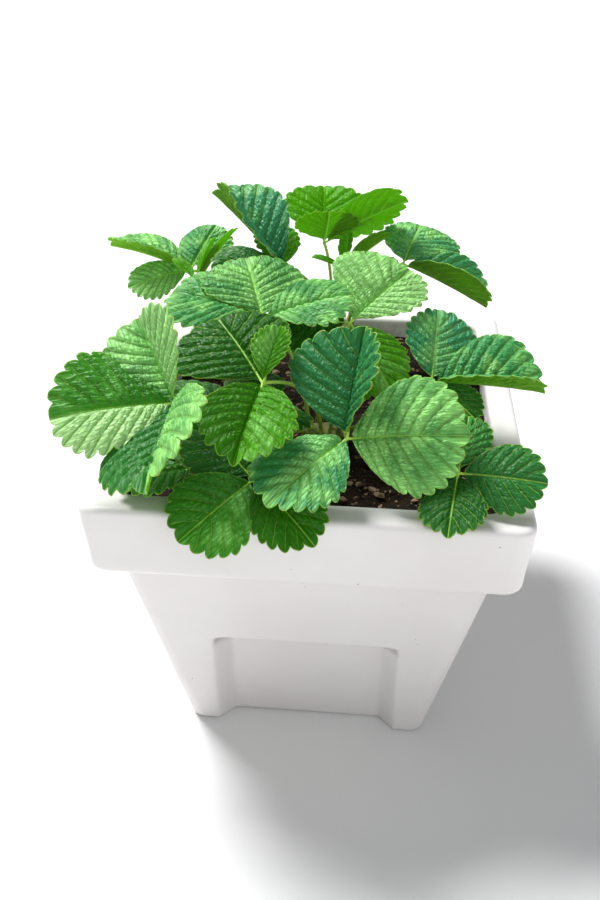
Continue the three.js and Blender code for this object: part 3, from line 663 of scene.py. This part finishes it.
def planter_material():
    material, nodes, shader = new_material("white plastic")
    place = nodes.place()
    patch = use_group(nodes, MOTTLE, Vector=place, Blotch=9.0, Grain=1100.0)
    haze = use_group(nodes, MOTTLE, Vector=place, Blotch=38.0, Grain=420.0)
    white = nodes.mix(patch["Blotches"], colour(0.73, 0.705, 0.69), colour(0.78, 0.76, 0.75))
    white = nodes.over(white, haze["Blotches"], 0.25, colour(0.71, 0.68, 0.645))
    worn = nodes.add("ShaderNodeNewGeometry").outputs["Pointiness"]
    white = nodes.mix(nodes.ramp(worn, 0.505, 0.56, 0.0, 0.5), white, colour(0.84, 0.83, 0.82))
    crumbs = use_group(nodes, SPECKS, Vector=place, Spacing=90.0, Size=0.07, Share=0.35)["Specks"]
    dust = use_group(nodes, SPECKS, Vector=place, Spacing=150.0, Size=0.10, Share=0.10)["Specks"]
    white = nodes.over(white, dust, 0.4, colour(0.42, 0.37, 0.32))
    white = nodes.over(white, crumbs, 0.75, colour(0.16, 0.12, 0.09))
    soiled = nodes.attribute("soiled", "Fac")
    smear = nodes.math("MULTIPLY", soiled, nodes.ramp(nodes.noise(place, 120.0, 5.0, 0.65), 0.38, 0.62))
    white = nodes.over(white, smear, 0.85, colour(0.13, 0.085, 0.055))
    # Painted shade: a darker grey strip under the rim band and under the recess's top edge.
    shade_lines = nodes.math("MULTIPLY", nodes.attribute("grime", "Fac"),
                       nodes.ramp(haze["Blotches"], 0.0, 1.0, 0.55, 0.95))
    white = nodes.mix(shade_lines, white, colour(0.34, 0.31, 0.285))
    nodes.put(shader, "Base Color", white)
    nodes.put(shader, "Roughness", nodes.ramp(haze["Blotches"], 0.0, 1.0, 0.34, 0.46))
    shader.inputs["Specular IOR Level"].default_value = 0.45
    bump(nodes, shader, nodes.times_and_add(haze["Fine"], 0.6, patch["Fine"]), 0.04)
    return material


def floor_material():
    material, nodes, shader = new_material("pale floor")
    tone = nodes.noise(nodes.place(), 3.0, 2.0)
    nodes.put(shader, "Base Color", nodes.mix(tone, colour(0.80, 0.80, 0.80), colour(0.83, 0.83, 0.83)))
    shader.inputs["Roughness"].default_value = 0.85
    return material


# ----------------------------------------------------------------------------------- planter

FIELD = (0, 12, 24, 36, 44, 50, 52, 53.5, 55, 56.5, 58, 59.5, 61, 62.5, 64, 65.5, 67, 70)
FIELD_EDGE = 66.0
CORNER_STEPS = 14
STRAIGHT_STEPS = 5


def side_places(half, corner, mark):
    """Places along half a side, from its middle to its corner, fine round the recess's edge."""
    fine = np.array(FIELD) * mark / FIELD_EDGE
    rest = np.linspace(fine[-1], half - corner, STRAIGHT_STEPS + 1)[1:]
    return np.concatenate((fine, rest))


def planter_ring(half_x, half_y, corner, z):
    """A level rounded rectangle, anticlockwise from the middle of its right side."""
    quarter = [(half_x, y) for y in side_places(half_y, corner, RECESS_HALF[1])]
    for i in range(1, CORNER_STEPS):
        turn = np.pi / 2 * i / CORNER_STEPS
        quarter.append((half_x - corner + corner * np.cos(turn),
                        half_y - corner + corner * np.sin(turn)))
    quarter += [(x, half_y) for x in side_places(half_x, corner, RECESS_HALF[0])[::-1]]
    first = np.array(quarter)
    second = (first * (-1, 1))[::-1][1:]
    upper = np.concatenate((first, second))
    lower = (upper * (1, -1))[::-1][1:-1]
    ring = np.concatenate((upper, lower))
    return np.column_stack((ring, np.full(len(ring), z)))


def set_back(inward, slope=RECESS_SLOPE):
    """How far, from 0 to 1, the wall is set back at a distance in mm inside the recess's edge."""
    return 0.75 * np.clip(inward / slope, 0, 1) + 0.25 * smoothstep(inward, -1.0, slope + 1.0)


def recess_push(ring):
    """How far the wall is set back at each point of a ring, in mm."""
    x, y, z = ring.T
    below_top = set_back(RECESS_TOP - z, RECESS_SLOPE * 0.75)
    push = np.zeros_like(ring)
    for out, across, foot, top, half in ((y, x, WALL_FOOT[1], WALL_TOP[1], RECESS_HALF[0]),
                                         (x, y, WALL_FOOT[0], WALL_TOP[0], RECESS_HALF[1])):
        wall = foot + (top - foot) * z / (PLANTER_HEIGHT - BAND_HEIGHT)
        on_wall = np.abs(np.abs(out) - wall) < 4.0
        depth = RECESS_DEPTH * on_wall * set_back(half - np.abs(across)) * below_top
        push[:, 1 if out is y else 0] = -np.sign(out) * depth
    return push


def hollow_at(z):
    """Half sizes of the planter's hollow at a height."""
    levels = [FLOOR_THICKNESS, RECESS_TOP, PLANTER_HEIGHT - BAND_HEIGHT, PLANTER_HEIGHT]
    foot = [WALL_FOOT[i] - RECESS_DEPTH - WALL_THICKNESS for i in (0, 1)]
    shoulder = [WALL_TOP[i] - WALL_THICKNESS for i in (0, 1)]
    mouth = [RIM_WIDTH / 2 - RIM_TOP_SIDE, RIM_LENGTH / 2 - RIM_TOP_END]
    return [np.interp(z, levels, [foot[i], RECESS_HOLLOW[i], shoulder[i], mouth[i]]) for i in (0, 1)]


def rounded_edge(start, corner, end, steps):
    """Points that round a corner of the profile, from start to end, drawn towards corner."""
    t = np.linspace(0, 1, steps)[:, None]
    start, corner, end = (np.array(p, float) for p in (start, corner, end))
    return (1 - t) ** 2 * start + 2 * t * (1 - t) * corner + t ** 2 * end


def make_planter(material):
    """The wall's profile goes up the outside, over the rim and down inside to the floor.

    Each profile point is how far the ring lies inside the rim's half sizes, at a height, with
    the corner's radius there.
    """
    rings, grime = [], []
    band_foot = PLANTER_HEIGHT - BAND_HEIGHT

    def ring(half_x, half_y, corner, z):
        points = planter_ring(half_x, half_y, corner, z)
        push = recess_push(points)
        rings.append(points + push)
        # Painted shade: darker strips under the recess's top edge and under the rim band.
        under_edge = smoothstep(RECESS_TOP - z, 0, 2) * smoothstep(RECESS_TOP - z, 13, 4)
        under_band = np.exp(-((z - band_foot) / 3.0) ** 2) * (z <= band_foot)
        grime.append(np.clip(np.abs(push).sum(axis=1), 0, 1) * under_edge + under_band)

    for inset, z in rounded_edge((3.2, 0.0), (0.3, 0.0), (0.0, 3.0), 6):
        ring(WALL_FOOT[0] + z * 0.2 - inset, WALL_FOOT[1] + z * 0.2 - inset, RIM_CORNER - 3, z)
    near_band = band_foot - np.array((5.5, 3.5, 2.2, 1.0))
    for z in (6, 14, 24, 34, 44, 54, 64, 72, *np.linspace(76, 96, 17), 99,
              *np.linspace(105, band_foot - 8, 6), *near_band):
        t = z / band_foot
        ring(WALL_FOOT[0] + t * (WALL_TOP[0] - WALL_FOOT[0]),
             WALL_FOOT[1] + t * (WALL_TOP[1] - WALL_FOOT[1]), RIM_CORNER - 3 + t, z)
    top_x, top_y = WALL_TOP
    ring(top_x + 0.6, top_y + 0.6, RIM_CORNER - 2, band_foot)
    half_x, half_y = RIM_WIDTH / 2, RIM_LENGTH / 2
    outline = [*rounded_edge((BAND_TAPER + 5.0, band_foot), (BAND_TAPER, band_foot),
                             (BAND_TAPER - 0.5, band_foot + 5.5), 7),
               *[(BAND_TAPER * (1 - t), band_foot + 5.5 + t * (BAND_HEIGHT - 11))
                 for t in (0.25, 0.5, 0.75)],
               *rounded_edge((0.2, PLANTER_HEIGHT - 5.5), (-0.3, PLANTER_HEIGHT),
                             (5.2, PLANTER_HEIGHT), 8)]
    for inset, z in outline:
        ring(half_x - inset, half_y - inset, RIM_CORNER - 0.25 * inset, z)
    for share in (0.35, 0.65):
        ring(half_x - RIM_TOP_SIDE * share - 1, half_y - RIM_TOP_END * share - 1, RIM_CORNER - 1,
             PLANTER_HEIGHT + 0.15)
    for inset, z in rounded_edge((-4.5, PLANTER_HEIGHT), (0.0, PLANTER_HEIGHT),
                                 (0.3, PLANTER_HEIGHT - 5.0), 7):
        ring(half_x - RIM_TOP_SIDE - inset, half_y - RIM_TOP_END - inset, RIM_CORNER, z)
    inner = [PLANTER_HEIGHT - 12, SOIL_LEVEL + 4, SOIL_LEVEL - 4, band_foot, 120, RECESS_TOP, 40,
             FLOOR_THICKNESS]
    for z in inner:
        inner_x, inner_y = hollow_at(z)
        rings.append(planter_ring(inner_x, inner_y, RIM_CORNER - 4, z))
        grime.append(np.zeros(len(rings[-1])))
    points = np.concatenate(rings)
    x, y, z = points.T
    inside = (smoothstep(z, SOIL_LEVEL - 6, SOIL_LEVEL)
              * smoothstep(z, PLANTER_HEIGHT + 1, SOIL_LEVEL + 6))
    within = (np.abs(x) < half_x - 12) & (np.abs(y) < half_y - 14)
    dirty = 0.35 + 0.65 * np.exp(-((x - 128) / 30) ** 2 - ((y + 40) / 60) ** 2)
    build = Build()
    build.add(points, closed_loft(len(rings), len(rings[0])),
              soiled=inside * within * dirty, grime=np.concatenate(grime))
    finish_piece(build.make("planter_shell", material), "planter", "planter")


# -------------------------------------------------------------------------------------- soil


def soil_height(x, y):
    waves = (np.sin(x * 0.11 + 0.6) * np.cos(y * 0.083) + 0.7 * np.sin(x * 0.21 - y * 0.17)
             + 0.5 * np.cos(x * 0.05 + y * 0.31))
    bank = BANK_HEIGHT * np.exp(-((x - BANK_MIDDLE) / BANK_WIDTH) ** 2) * (0.6 + 0.4 * np.sin(y * 0.03))
    return SOIL_LEVEL + SOIL_RELIEF * waves + bank


def crumbs(x, y):
    """Clods and crumbs of the soil's surface, in mm."""
    height = 0.0
    for scale, size, seed in ((13.0, 2.2, 1), (6.0, 1.7, 2), (3.1, 1.1, 3), (1.7, 0.6, 4)):
        height = height + size * (1 - np.abs(2 * value_noise(x / scale, y / scale, seed) - 1) - 0.45)
    return height


def even_ring(half_x, half_y, corner, count):
    """A rounded rectangle walked in equal steps, anticlockwise from the right side."""
    turn = np.linspace(0, np.pi / 2, 12)
    arc = np.column_stack((half_x - corner + corner * np.cos(turn),
                           half_y - corner + corner * np.sin(turn)))
    right = np.concatenate((arc, (arc * (-1, 1))[::-1], arc * (-1, -1), (arc * (1, -1))[::-1]))
    path = np.concatenate((right, right[:1]))
    run = np.concatenate(([0], np.cumsum(np.linalg.norm(np.diff(path, axis=0), axis=1))))
    at = np.linspace(0, run[-1], count, endpoint=False)
    return np.column_stack((np.interp(at, run, path[:, 0]), np.interp(at, run, path[:, 1])))


def make_soil(material):
    half_x, half_y = hollow_at(SOIL_LEVEL)
    outer = even_ring(half_x - SOIL_INSET, half_y - SOIL_INSET, SOIL_CORNER, SOIL_AROUND)
    rings = []
    for z in (FLOOR_THICKNESS + 0.3, RECESS_TOP, PLANTER_HEIGHT - BAND_HEIGHT):
        wall_x, wall_y = hollow_at(z)
        level = even_ring(wall_x - SOIL_INSET, wall_y - SOIL_INSET, SOIL_CORNER, SOIL_AROUND)
        rings.append(np.column_stack((level, np.full(SOIL_AROUND, z))))
    for share in np.linspace(1.0, 0.01, SOIL_RINGS):
        x, y = (outer * share).T
        z = soil_height(x, y) + crumbs(x, y) * min(1.0, 0.5 + 4 * (1 - share))
        for (cx, cy), _, _ in CROWNS.values():
            far = np.hypot(x - cx, y - cy)
            z = np.where(far < CROWN_RADIUS + 0.9, SOIL_LEVEL - CROWN_DEPTH - 1.0,
                         z + 2.5 * np.exp(-((far - CROWN_RADIUS) / 9.0) ** 2))
        rings.append(np.column_stack((x, y, z)))
    build = Build()
    build.add(np.concatenate(rings), closed_loft(len(rings), SOIL_AROUND))
    finish_piece(build.make("soil_bed", material), "soil", "soil")


def chip_solid(rng, length, width, height):
    """A worn splinter or crumb: a small box drawn in and shaken at its corners."""
    grid = np.array([(x, y, z) for x in (-1, -0.35, 0.35, 1) for y in (-1, 1) for z in (-1, 1)], float)
    taper = 1 - 0.55 * np.abs(grid[:, :1]) ** 2
    grid[:, 1:] *= taper
    grid += rng.uniform(-0.22, 0.22, grid.shape)
    faces = []
    for i in range(3):
        a = 4 * i
        for p, q in ((0, 1), (1, 3), (3, 2), (2, 0)):
            faces.append((a + p, a + q, a + 4 + q, a + 4 + p))
    faces += [(0, 2, 3, 1), (12, 13, 15, 14)]
    return grid * (length / 2, width / 2, height / 2), faces


def turned(points, tilt, heading):
    c, s = np.cos(tilt), np.sin(tilt)
    points = points @ np.array(((1, 0, 0), (0, c, s), (0, -s, c)))
    c, s = np.cos(heading), np.sin(heading)
    return points @ np.array(((c, s, 0), (-s, c, 0), (0, 0, 1)))


def even_numbers(seed):
    """Numbers from 0 to 1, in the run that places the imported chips."""
    state = seed
    while True:
        state = (state * 1664525 + 1013904223) % 4294967296
        yield state / 4294967296


def make_chips(material):
    """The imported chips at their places, and many finer ones between them."""
    rng = np.random.default_rng(11)
    numbers = even_numbers(7)
    half_x, half_y = hollow_at(SOIL_LEVEL)
    spots = []
    while len(spots) < CHIP_COUNT:
        x = (2 * next(numbers) - 1) * (half_x - CHIP_EDGE_CLEAR)
        y = (2 * next(numbers) - 1) * (half_y - CHIP_EDGE_CLEAR)
        length = CHIP_LENGTH * (0.6 + 0.8 * next(numbers))
        heading = np.pi * next(numbers)
        tilt = 0.7 * (next(numbers) - 0.5)
        if all(np.hypot(x - cx, y - cy) > CHIP_CROWN_CLEAR for (cx, cy), _, _ in CROWNS.values()):
            spots.append((x, y, length, 0.55, 0.35, heading, tilt, 0.8))
    while len(spots) < CHIP_TOTAL:
        x = rng.uniform(-1, 1) * (half_x - 5)
        y = rng.uniform(-1, 1) * (half_y - 5)
        length = 1.6 + 6.0 * rng.random() ** 2.5
        spot = (x, y, length, rng.uniform(0.25, 0.8), rng.uniform(0.2, 0.5), rng.uniform(0, np.pi),
                rng.uniform(-0.5, 0.5), rng.random() ** 1.4)
        if all(np.hypot(x - cx, y - cy) > CROWN_RADIUS + 4 for (cx, cy), _, _ in CROWNS.values()):
            spots.append(spot)
    build = Build()
    for x, y, length, wide, high, heading, tilt, tone in spots:
        points, faces = chip_solid(rng, length, length * wide, length * high)
        points = turned(points, tilt, heading)
        lift = soil_height(x, y) + float(crumbs(np.array(x), np.array(y))) + 0.12 * length
        build.add(points + (x, y, lift), faces, chip_tone=tone)
    finish_piece(build.make("bark_chips", material, smooth=False), "soil")


# ------------------------------------------------------------------------------------ crowns


def crown_scale(rng, turn, height):
    """A dry pointed scale: a thin curved blade that hugs the crown and leans out at its tip."""
    rows, columns = 14, 7
    up = np.linspace(0, 1, rows)[:, None]
    across = np.linspace(-1, 1, columns)[None, :]
    half = 4.2 * (1 - up ** 2.2) ** 0.8 * (0.75 + 0.25 * np.sin(np.pi * up)) + 0.12
    lean = 0.4 + 2.6 * up ** 2 + 0.5 * np.sin(5 * up + rng.uniform(0, 6))
    curl = 1.5 * (1 - up) * (1 - across ** 2) + 0.35 * np.cos(9 * across) * up
    out = CROWN_RADIUS - 2.0 + lean + curl
    side = half * across + 1.2 * np.sin(3 * up + rng.uniform(0, 6)) * up
    level = -6 + (height + 6) * up + 0 * across
    outer = np.stack([out + 0 * side, side, level], -1).reshape(-1, 3)
    inner = outer - (0.7, 0, 0)
    count = rows * columns
    sheet = loft_faces(rows, columns, closed=False)
    faces = sheet + [tuple(i + count for i in face[::-1]) for face in sheet]
    rim = ([r * columns for r in range(rows)] + [count - columns + c for c in range(1, columns)]
           + [r * columns + columns - 1 for r in range(rows - 2, -1, -1)]
           + list(range(columns - 2, 0, -1)))
    for a, b in zip(rim, rim[1:] + rim[:1]):
        faces.append((a, b, b + count, a + count))
    run = np.tile(np.repeat(np.linspace(0, 1, rows), columns), 2)
    return turned(np.concatenate((outer, inner)), 0.0, np.radians(turn)), faces, run


def make_crown(name, material):
    """A short woody stem with old leaf bases, wrapped in dry scales."""
    (x, y), scales, height = CROWNS[name]
    rng = np.random.default_rng(len(name))
    sides, rings = 40, []
    profile = [(0.05, -CROWN_DEPTH), (0.7, -CROWN_DEPTH), (0.92, -0.4 * CROWN_DEPTH), (0.96, 0.0),
               (1.0, 0.45 * CROWN_RISE), (0.98, CROWN_RISE - 3), (0.93, CROWN_RISE - 1),
               (0.8, CROWN_RISE), (0.55, CROWN_RISE + 0.6), (0.3, CROWN_RISE + 0.3),
               (0.05, CROWN_RISE)]
    turn = 2 * np.pi * np.arange(sides) / sides
    for share, level in profile:
        ripple = 1 + 0.03 * np.sin(9 * turn + level) * (0.2 < share < 0.99)
        radius = CROWN_RADIUS * share * ripple - 0.3
        rings.append(np.column_stack((radius * np.cos(turn), radius * np.sin(turn),
                                      np.full(sides, level))))
    build = Build()
    base = np.array((x, y, SOIL_LEVEL))
    build.add(np.concatenate(rings) + base, closed_loft(len(rings), sides), stem_run=0.0)
    for i, angle in enumerate(scales):
        tall = height * (1 + 0.2 * np.sin(i * 2.4))
        for shift, share in ((0.0, 1.0), (rng.uniform(9, 15), rng.uniform(0.5, 0.8))):
            points, sheet, run = crown_scale(rng, angle + shift, tall * share)
            build.add(points + base + (0, 0, SCALE_ROOT), sheet, stem_run=run)
    finish_piece(build.make(f"{name}_crown", material), "crown", f"crown_{name}")


# ------------------------------------------------------------------------------------ leaves

TOOTH_ROWS = (0.0, 0.06, 0.14, 0.23, 0.32, 0.41, 0.50, 0.58, 0.66, 0.74, 0.82, 0.90, 0.96)
TIP_AT = 0.58
COLUMNS = 41
QUILT, YOUNG_QUILT = 2.1, 0.7
RUDDY_LEAVES = ("leaf_front_2", "leaf_front_5", "leaf_front_9")


def leaflet_frame(heading, rise, roll):
    """The leaflet's direction, its left side and its upper normal."""
    h, r, o = np.radians((heading, rise, roll))
    ahead = np.array((np.cos(h) * np.cos(r), np.sin(h) * np.cos(r), np.sin(r)))
    up = np.array((-np.cos(h) * np.sin(r), -np.sin(h) * np.sin(r), np.cos(r)))
    normal = up * np.cos(o) + np.cross(up, ahead) * np.sin(o)
    return ahead, np.cross(normal, ahead), normal


def outline(u):
    return u ** 0.78 * np.maximum(1 - u, 0) ** 0.56 / 0.402


def tooth_rows(teeth):
    """Where rows of points leave the midrib, and how far the margin stands out at each.

    A side vein runs into the tip of each tooth, and the midrib into the one at the blade's tip.
    """
    passed, stand = [0.0, 0.04], [-0.7, -0.7]
    for k in range(teeth + 1):
        for share in TOOTH_ROWS:
            if k == teeth and share > TIP_AT:
                break
            passed.append(k + 0.08 + share)
            if share <= TIP_AT:
                rise = np.sin(np.pi / 2 * share / TIP_AT) ** 0.72
            else:
                rise = np.cos(np.pi / 2 * (share - TIP_AT) / (1 - TIP_AT)) ** 0.62
            stand.append(1.3 * rise - 0.7)
    passed = np.array(passed)
    return passed / passed[-1], np.array(stand), passed[-1]


def half_blade(row, top, teeth, side, seed):
    """Points, normals and marks of one half of a leaflet, as a grid of rows and columns."""
    heading, rise, roll, twist, length, left, right, fold_left, fold_right, arch = row
    ahead, across_axis, normal_axis = leaflet_frame(heading, rise, roll)
    half = left if side > 0 else right
    fold = np.radians(fold_left if side > 0 else fold_right)
    veins, stand, most = tooth_rows(teeth)
    vein, stand = veins[:, None], stand[:, None]
    out = (np.linspace(0, 1, COLUMNS) ** 1.05)[None, :]
    along = 0.82 * vein ** 1.2
    edge = 1 - (1 - vein) ** 1.55
    u = along + (edge - along) * out ** 1.25
    reach = outline(edge) * out * half
    inner = np.clip(edge, 0.01, 0.999)
    slant = half * outline(inner) * (0.78 / inner - 0.56 / (1 - inner))
    size = np.hypot(slant, length)
    uneven = 1 + 0.28 * np.sin(2.4 * np.floor(vein * most - 0.08) + seed)
    tooth = TOOTH_SHARE * length * np.clip((vein - 0.16) / 0.14, 0, 1) * stand * uneven
    tooth = tooth * np.clip((out - 0.5) / 0.5, 0, 1) ** 1.6
    u = u + tooth * (0.45 - slant / size) / length
    reach = np.maximum(reach + tooth * length / size * (vein < 1), 0)
    bend = np.radians(arch)
    slope = bend / 2 - bend * u
    forward = length * (np.sin(bend / 2) - np.sin(slope)) / bend
    lift = length * (np.cos(slope) - np.cos(bend / 2)) / bend
    normal = normal_axis * np.cos(slope)[..., None] - ahead * np.sin(slope)[..., None]
    turn = (np.radians(twist) * (u - 0.5))[..., None]
    across = across_axis * np.cos(turn) - normal * np.sin(turn)
    over = normal * np.cos(turn) + across_axis * np.sin(turn)
    droop = -0.3 * half * (reach / half) ** 2
    wide = reach * np.cos(fold) - droop * np.sin(fold)
    high = reach * np.sin(fold) + droop * np.cos(fold)
    points = (top + ahead * (STALK_LENGTH + forward)[..., None] + normal_axis * lift[..., None]
              + across * (side * wide)[..., None] + over * high[..., None])
    lean = fold * smoothstep(out / 0.12)
    facing = over * np.cos(lean)[..., None] - across * (side * np.sin(lean))[..., None]
    outward = across * (side * np.cos(lean))[..., None] + over * np.sin(lean)[..., None]
    facing = facing + outward * (0.6 * reach / half)[..., None]
    facing /= np.linalg.norm(facing, axis=-1)[..., None]
    passed = vein * most + 0 * out
    spacing = length / teeth * (1.05 - 0.35 * vein) + 0 * out
    from_edge = np.full(u.shape, 99.0)
    for r in range(len(vein)):
        gap = np.hypot((u - u[r, -1]) * length, reach - reach[r, -1])
        from_edge = np.minimum(from_edge, gap)
    from_edge = np.where(out < 1, from_edge, 0.0)
    return points, facing, reach, u, passed, spacing, from_edge, stand + 0 * out, out + 0 * vein


def blade_relief(reach, u, passed, stand, out, length, teeth, seed, side, quilt):
    """Heights of the upper and lower face over the middle of the blade, in mm."""
    size = length / 80
    rising = smoothstep(reach, 0.3, 5.0 * size)
    ridge = np.abs(np.sin(np.pi * (passed - 0.66))) ** 0.7
    bulge = quilt * size * ridge * rising * (1 - 0.5 * out ** 3)
    cells = cell_domes(passed * 2.3 + 0.1 * reach, side * (reach / 4.4) + 20, seed)
    bulge = bulge + 0.42 * quilt * size * cells * rising * (1 - 0.4 * out ** 2)
    wave = np.sin(0.055 * length * u + seed) * np.cos(0.09 * side * reach + 1.7 * seed)
    flick = np.sin(0.9 * passed + seed) - 0.8 * stand
    ruffle = 1.3 * size * wave * rising + flick * size * out ** 4
    groove = -0.8 * size * np.exp(-(reach / 1.4) ** 2) * (1 - 0.7 * u)
    vein = np.abs((passed - 0.16) % 1.0 - 0.5) * length / teeth
    keel = (1.1 * np.exp(-(reach / 1.1) ** 2) * (1 - 0.75 * u)
            + 0.35 * np.exp(-(vein / 0.7) ** 2) * rising * (1 - out ** 2)) * size
    upper = BLADE_THICKNESS / 2 + bulge + ruffle + groove
    lower = -BLADE_THICKNESS / 2 + 0.85 * bulge + ruffle - keel
    return upper, lower


def add_blade(build, leaf, index, quilt):
    """One leaflet with its upper face, lower face and the thin rim between them."""
    row, light_and_tint = leaf.leaflets[index], leaf.light_and_tints[index]
    seed = sum(map(ord, leaf.name)) % 97 + 7 * index
    grids = [half_blade(row, leaf.top, leaf.teeth, side, seed) for side in (1, -1)]
    rows, columns = grids[0][2].shape
    number = np.full((2, rows, columns), -1)
    upper, lower, plane, veins, light_and_tints = [], [], [], [], []
    count = 0
    for s, (points, facing, reach, u, passed, spacing, from_edge, stand, out) in enumerate(grids):
        side = 1 - 2 * s
        high, low = blade_relief(reach, u, passed, stand, out, row[4], leaf.teeth, seed, side, quilt)
        for r in range(rows):
            for c in range(columns):
                if r == 0 and c > 0:
                    number[s, r, c] = number[0, 0, 0]
                elif s and (c == 0 or r in (0, rows - 1)):
                    number[s, r, c] = number[0, r, c]
                else:
                    number[s, r, c] = count
                    count += 1
                    upper.append(points[r, c] + facing[r, c] * high[r, c])
                    lower.append(points[r, c] + facing[r, c] * low[r, c])
                    plane.append((row[4] * u[r, c], side * reach[r, c], seed))
                    veins.append((passed[r, c], spacing[r, c], from_edge[r, c]))
                    # Painted light: each half's painted sunlight and shade blends into the other's
                    # across the midrib.
                    share = 0.5 if c == 0 else smoothstep(reach[r, c] * side, -1.5, 1.5)
                    light_and_tints.append((light_and_tint[0] * share + light_and_tint[1] * (1 - share), *light_and_tint[2:]))
    faces, slots = [], []
    for s in (0, 1):
        for r in range(rows - 1):
            for c in range(columns - 1):
                a, b = number[s, r, c], number[s, r, c + 1]
                d, e = number[s, r + 1, c], number[s, r + 1, c + 1]
                quad = (a, d, e) if a == b else (a, d, e, b)
                if s == 0:
                    quad = quad[::-1]
                faces.append(quad)
                slots.append(0)
                faces.append(tuple(i + count for i in quad[::-1]))
                slots.append(1)
    margin = [number[0, r, columns - 1] for r in range(rows)]
    margin += [number[1, r, columns - 1] for r in range(rows - 2, 0, -1)]
    for a, b in zip(margin, margin[1:] + margin[:1]):
        faces.append((b, a, a + count, b + count))
        slots.append(0)
    build.add(upper + lower, faces, slots, leaf_plane=np.array(plane * 2),
              leaf_veins=np.array(veins * 2), leaf_tint=np.array(light_and_tints * 2))


def petiole_line(leaf):
    """Points up the petiole: straight out of its socket, then in one bow to its top."""
    foot = leaf.foot()
    lip, top = foot + (0, 0, 1), leaf.top
    out, up = leaf.bow
    knee = foot + (top - foot) * (out, out, up)
    t = np.linspace(0, 1, PETIOLE_STEPS)[:, None]
    bow = (1 - t) ** 2 * lip + 2 * t * (1 - t) * knee + t ** 2 * top
    return np.concatenate(([foot - (0, 0, SOCKET_DEPTH)], bow))


def add_petiole(build, leaf, ruddy):
    line = petiole_line(leaf)
    rise = np.linspace(0, 1, len(line))
    radii = PETIOLE_RADIUS * (1 - 0.28 * rise) + 0.25 * np.exp(-((rise - 1) / 0.03) ** 2)
    points, faces, run = tube(line, radii, 12)
    build.add(points, faces, 2, stem_run=run, stem_ruddy=ruddy)
    for row in leaf.leaflets:
        ahead, _, normal = leaflet_frame(*row[:3])
        bend = np.radians(row[9]) / 2
        start = ahead * np.cos(bend) + normal * np.sin(bend)
        reach = np.linspace(-0.8, STALK_LENGTH + 5.0, 9)[:, None]
        stalk = (leaf.top + ahead * reach - normal * 0.25
                 + (start - ahead) * np.maximum(reach - STALK_LENGTH, 0))
        points, faces, run = tube(stalk, np.linspace(1.15, 0.55, 9), 10)
        build.add(points, faces, 2, stem_run=0.9 + 0.1 * run, stem_ruddy=ruddy * 0.4)


def make_leaf(leaf, top_material, underside, stem):
    build = Build()
    for index in range(3):
        add_blade(build, leaf, index, YOUNG_QUILT if leaf.teeth == 4 else QUILT)
    add_petiole(build, leaf, 0.75 if leaf.name in RUDDY_LEAVES else 0.25)
    number = leaf.name.rsplit("_", 1)[1]
    piece = build.make(f"{leaf.crown}_leaf_{number}", top_material, underside, stem)
    finish_piece(piece, "leaf", leaf.name)


def make_hairs(name, leaves, material):
    """Soft straight hairs that stand out all round the petioles."""
    rng = np.random.default_rng(5)
    build = Build()
    for leaf in leaves:
        line = petiole_line(leaf)
        for _ in range(HAIRS_PER_PETIOLE):
            place = rng.uniform(1.2, len(line) - 1.3)
            i = int(place)
            middle = line[i] + (line[i + 1] - line[i]) * (place - i)
            ahead = line[i + 1] - line[i]
            ahead = ahead / np.linalg.norm(ahead)
            out = rng.normal(size=3)
            out -= ahead * out.dot(ahead)
            out /= np.linalg.norm(out)
            other = np.cross(ahead, out)
            root = middle + out * PETIOLE_RADIUS * 0.75
            tip = root + (out + ahead * rng.uniform(-0.1, 0.5)) * rng.uniform(1.3, 2.2)
            base = [root + (ahead * np.cos(a) + other * np.sin(a)) * 0.07 for a in (0.0, 2.1, 4.2)]
            build.add([*base, tip], [(0, 1, 3), (1, 2, 3), (2, 0, 3), (0, 2, 1)])
    finish_piece(build.make(name, material), "leaf")


# ------------------------------------------------------------------------------------- stage

FLOOR_SIZE = 60.0


def sun_light(name, place, strength, spread):
    lamp = bpy.data.lights.new(name, "SUN")
    lamp.energy, lamp.angle = strength, np.radians(spread)
    light = bpy.data.objects.new(name, lamp)
    light.location = place
    light.rotation_euler = Vector(place).to_track_quat("Z", "Y").to_euler()
    bpy.context.scene.collection.objects.link(light)


def area_light(name, place, aim, size, power):
    lamp = bpy.data.lights.new(name, "AREA")
    lamp.shape, lamp.size, lamp.energy = "DISK", size, power
    light = bpy.data.objects.new(name, lamp)
    light.location = place
    light.rotation_euler = (Vector(aim) - Vector(place)).to_track_quat("-Z", "Y").to_euler()
    bpy.context.scene.collection.objects.link(light)


def make_stage():
    bpy.ops.mesh.primitive_plane_add(size=FLOOR_SIZE)
    floor = bpy.context.object
    floor.name = "floor"
    floor.data.materials.append(floor_material())
    world = bpy.data.worlds.new("soft light")
    bpy.context.scene.world = world
    world.use_nodes = True
    sky = world.node_tree.nodes["Background"]
    sky.inputs["Color"].default_value = (0.95, 0.97, 1.0, 1.0)
    sky.inputs["Strength"].default_value = 0.32
    sun_light("key", (-0.75, 0.6, 1.35), 5.0, 24)
    area_light("fill", (0.7, -1.6, 0.9), (0, 0, 0.1), 1.6, 7.5)
    bpy.context.scene.view_settings.view_transform = "Standard"


# ------------------------------------------------------------------------------------- plant

make_planter(planter_material())
make_soil(soil_material())
make_chips(chip_material())
crown_wood = crown_material()
for crown in CROWNS:
    make_crown(crown, crown_wood)
leaf_finishes = leaf_top_material(), leaf_underside_material(), petiole_material()
for each in LEAVES:
    make_leaf(each, *leaf_finishes)
hair = hair_material()
for crown in CROWNS:
    make_hairs(f"{crown}_petiole_hairs", [each for each in LEAVES if each.crown == crown], hair)
make_stage()
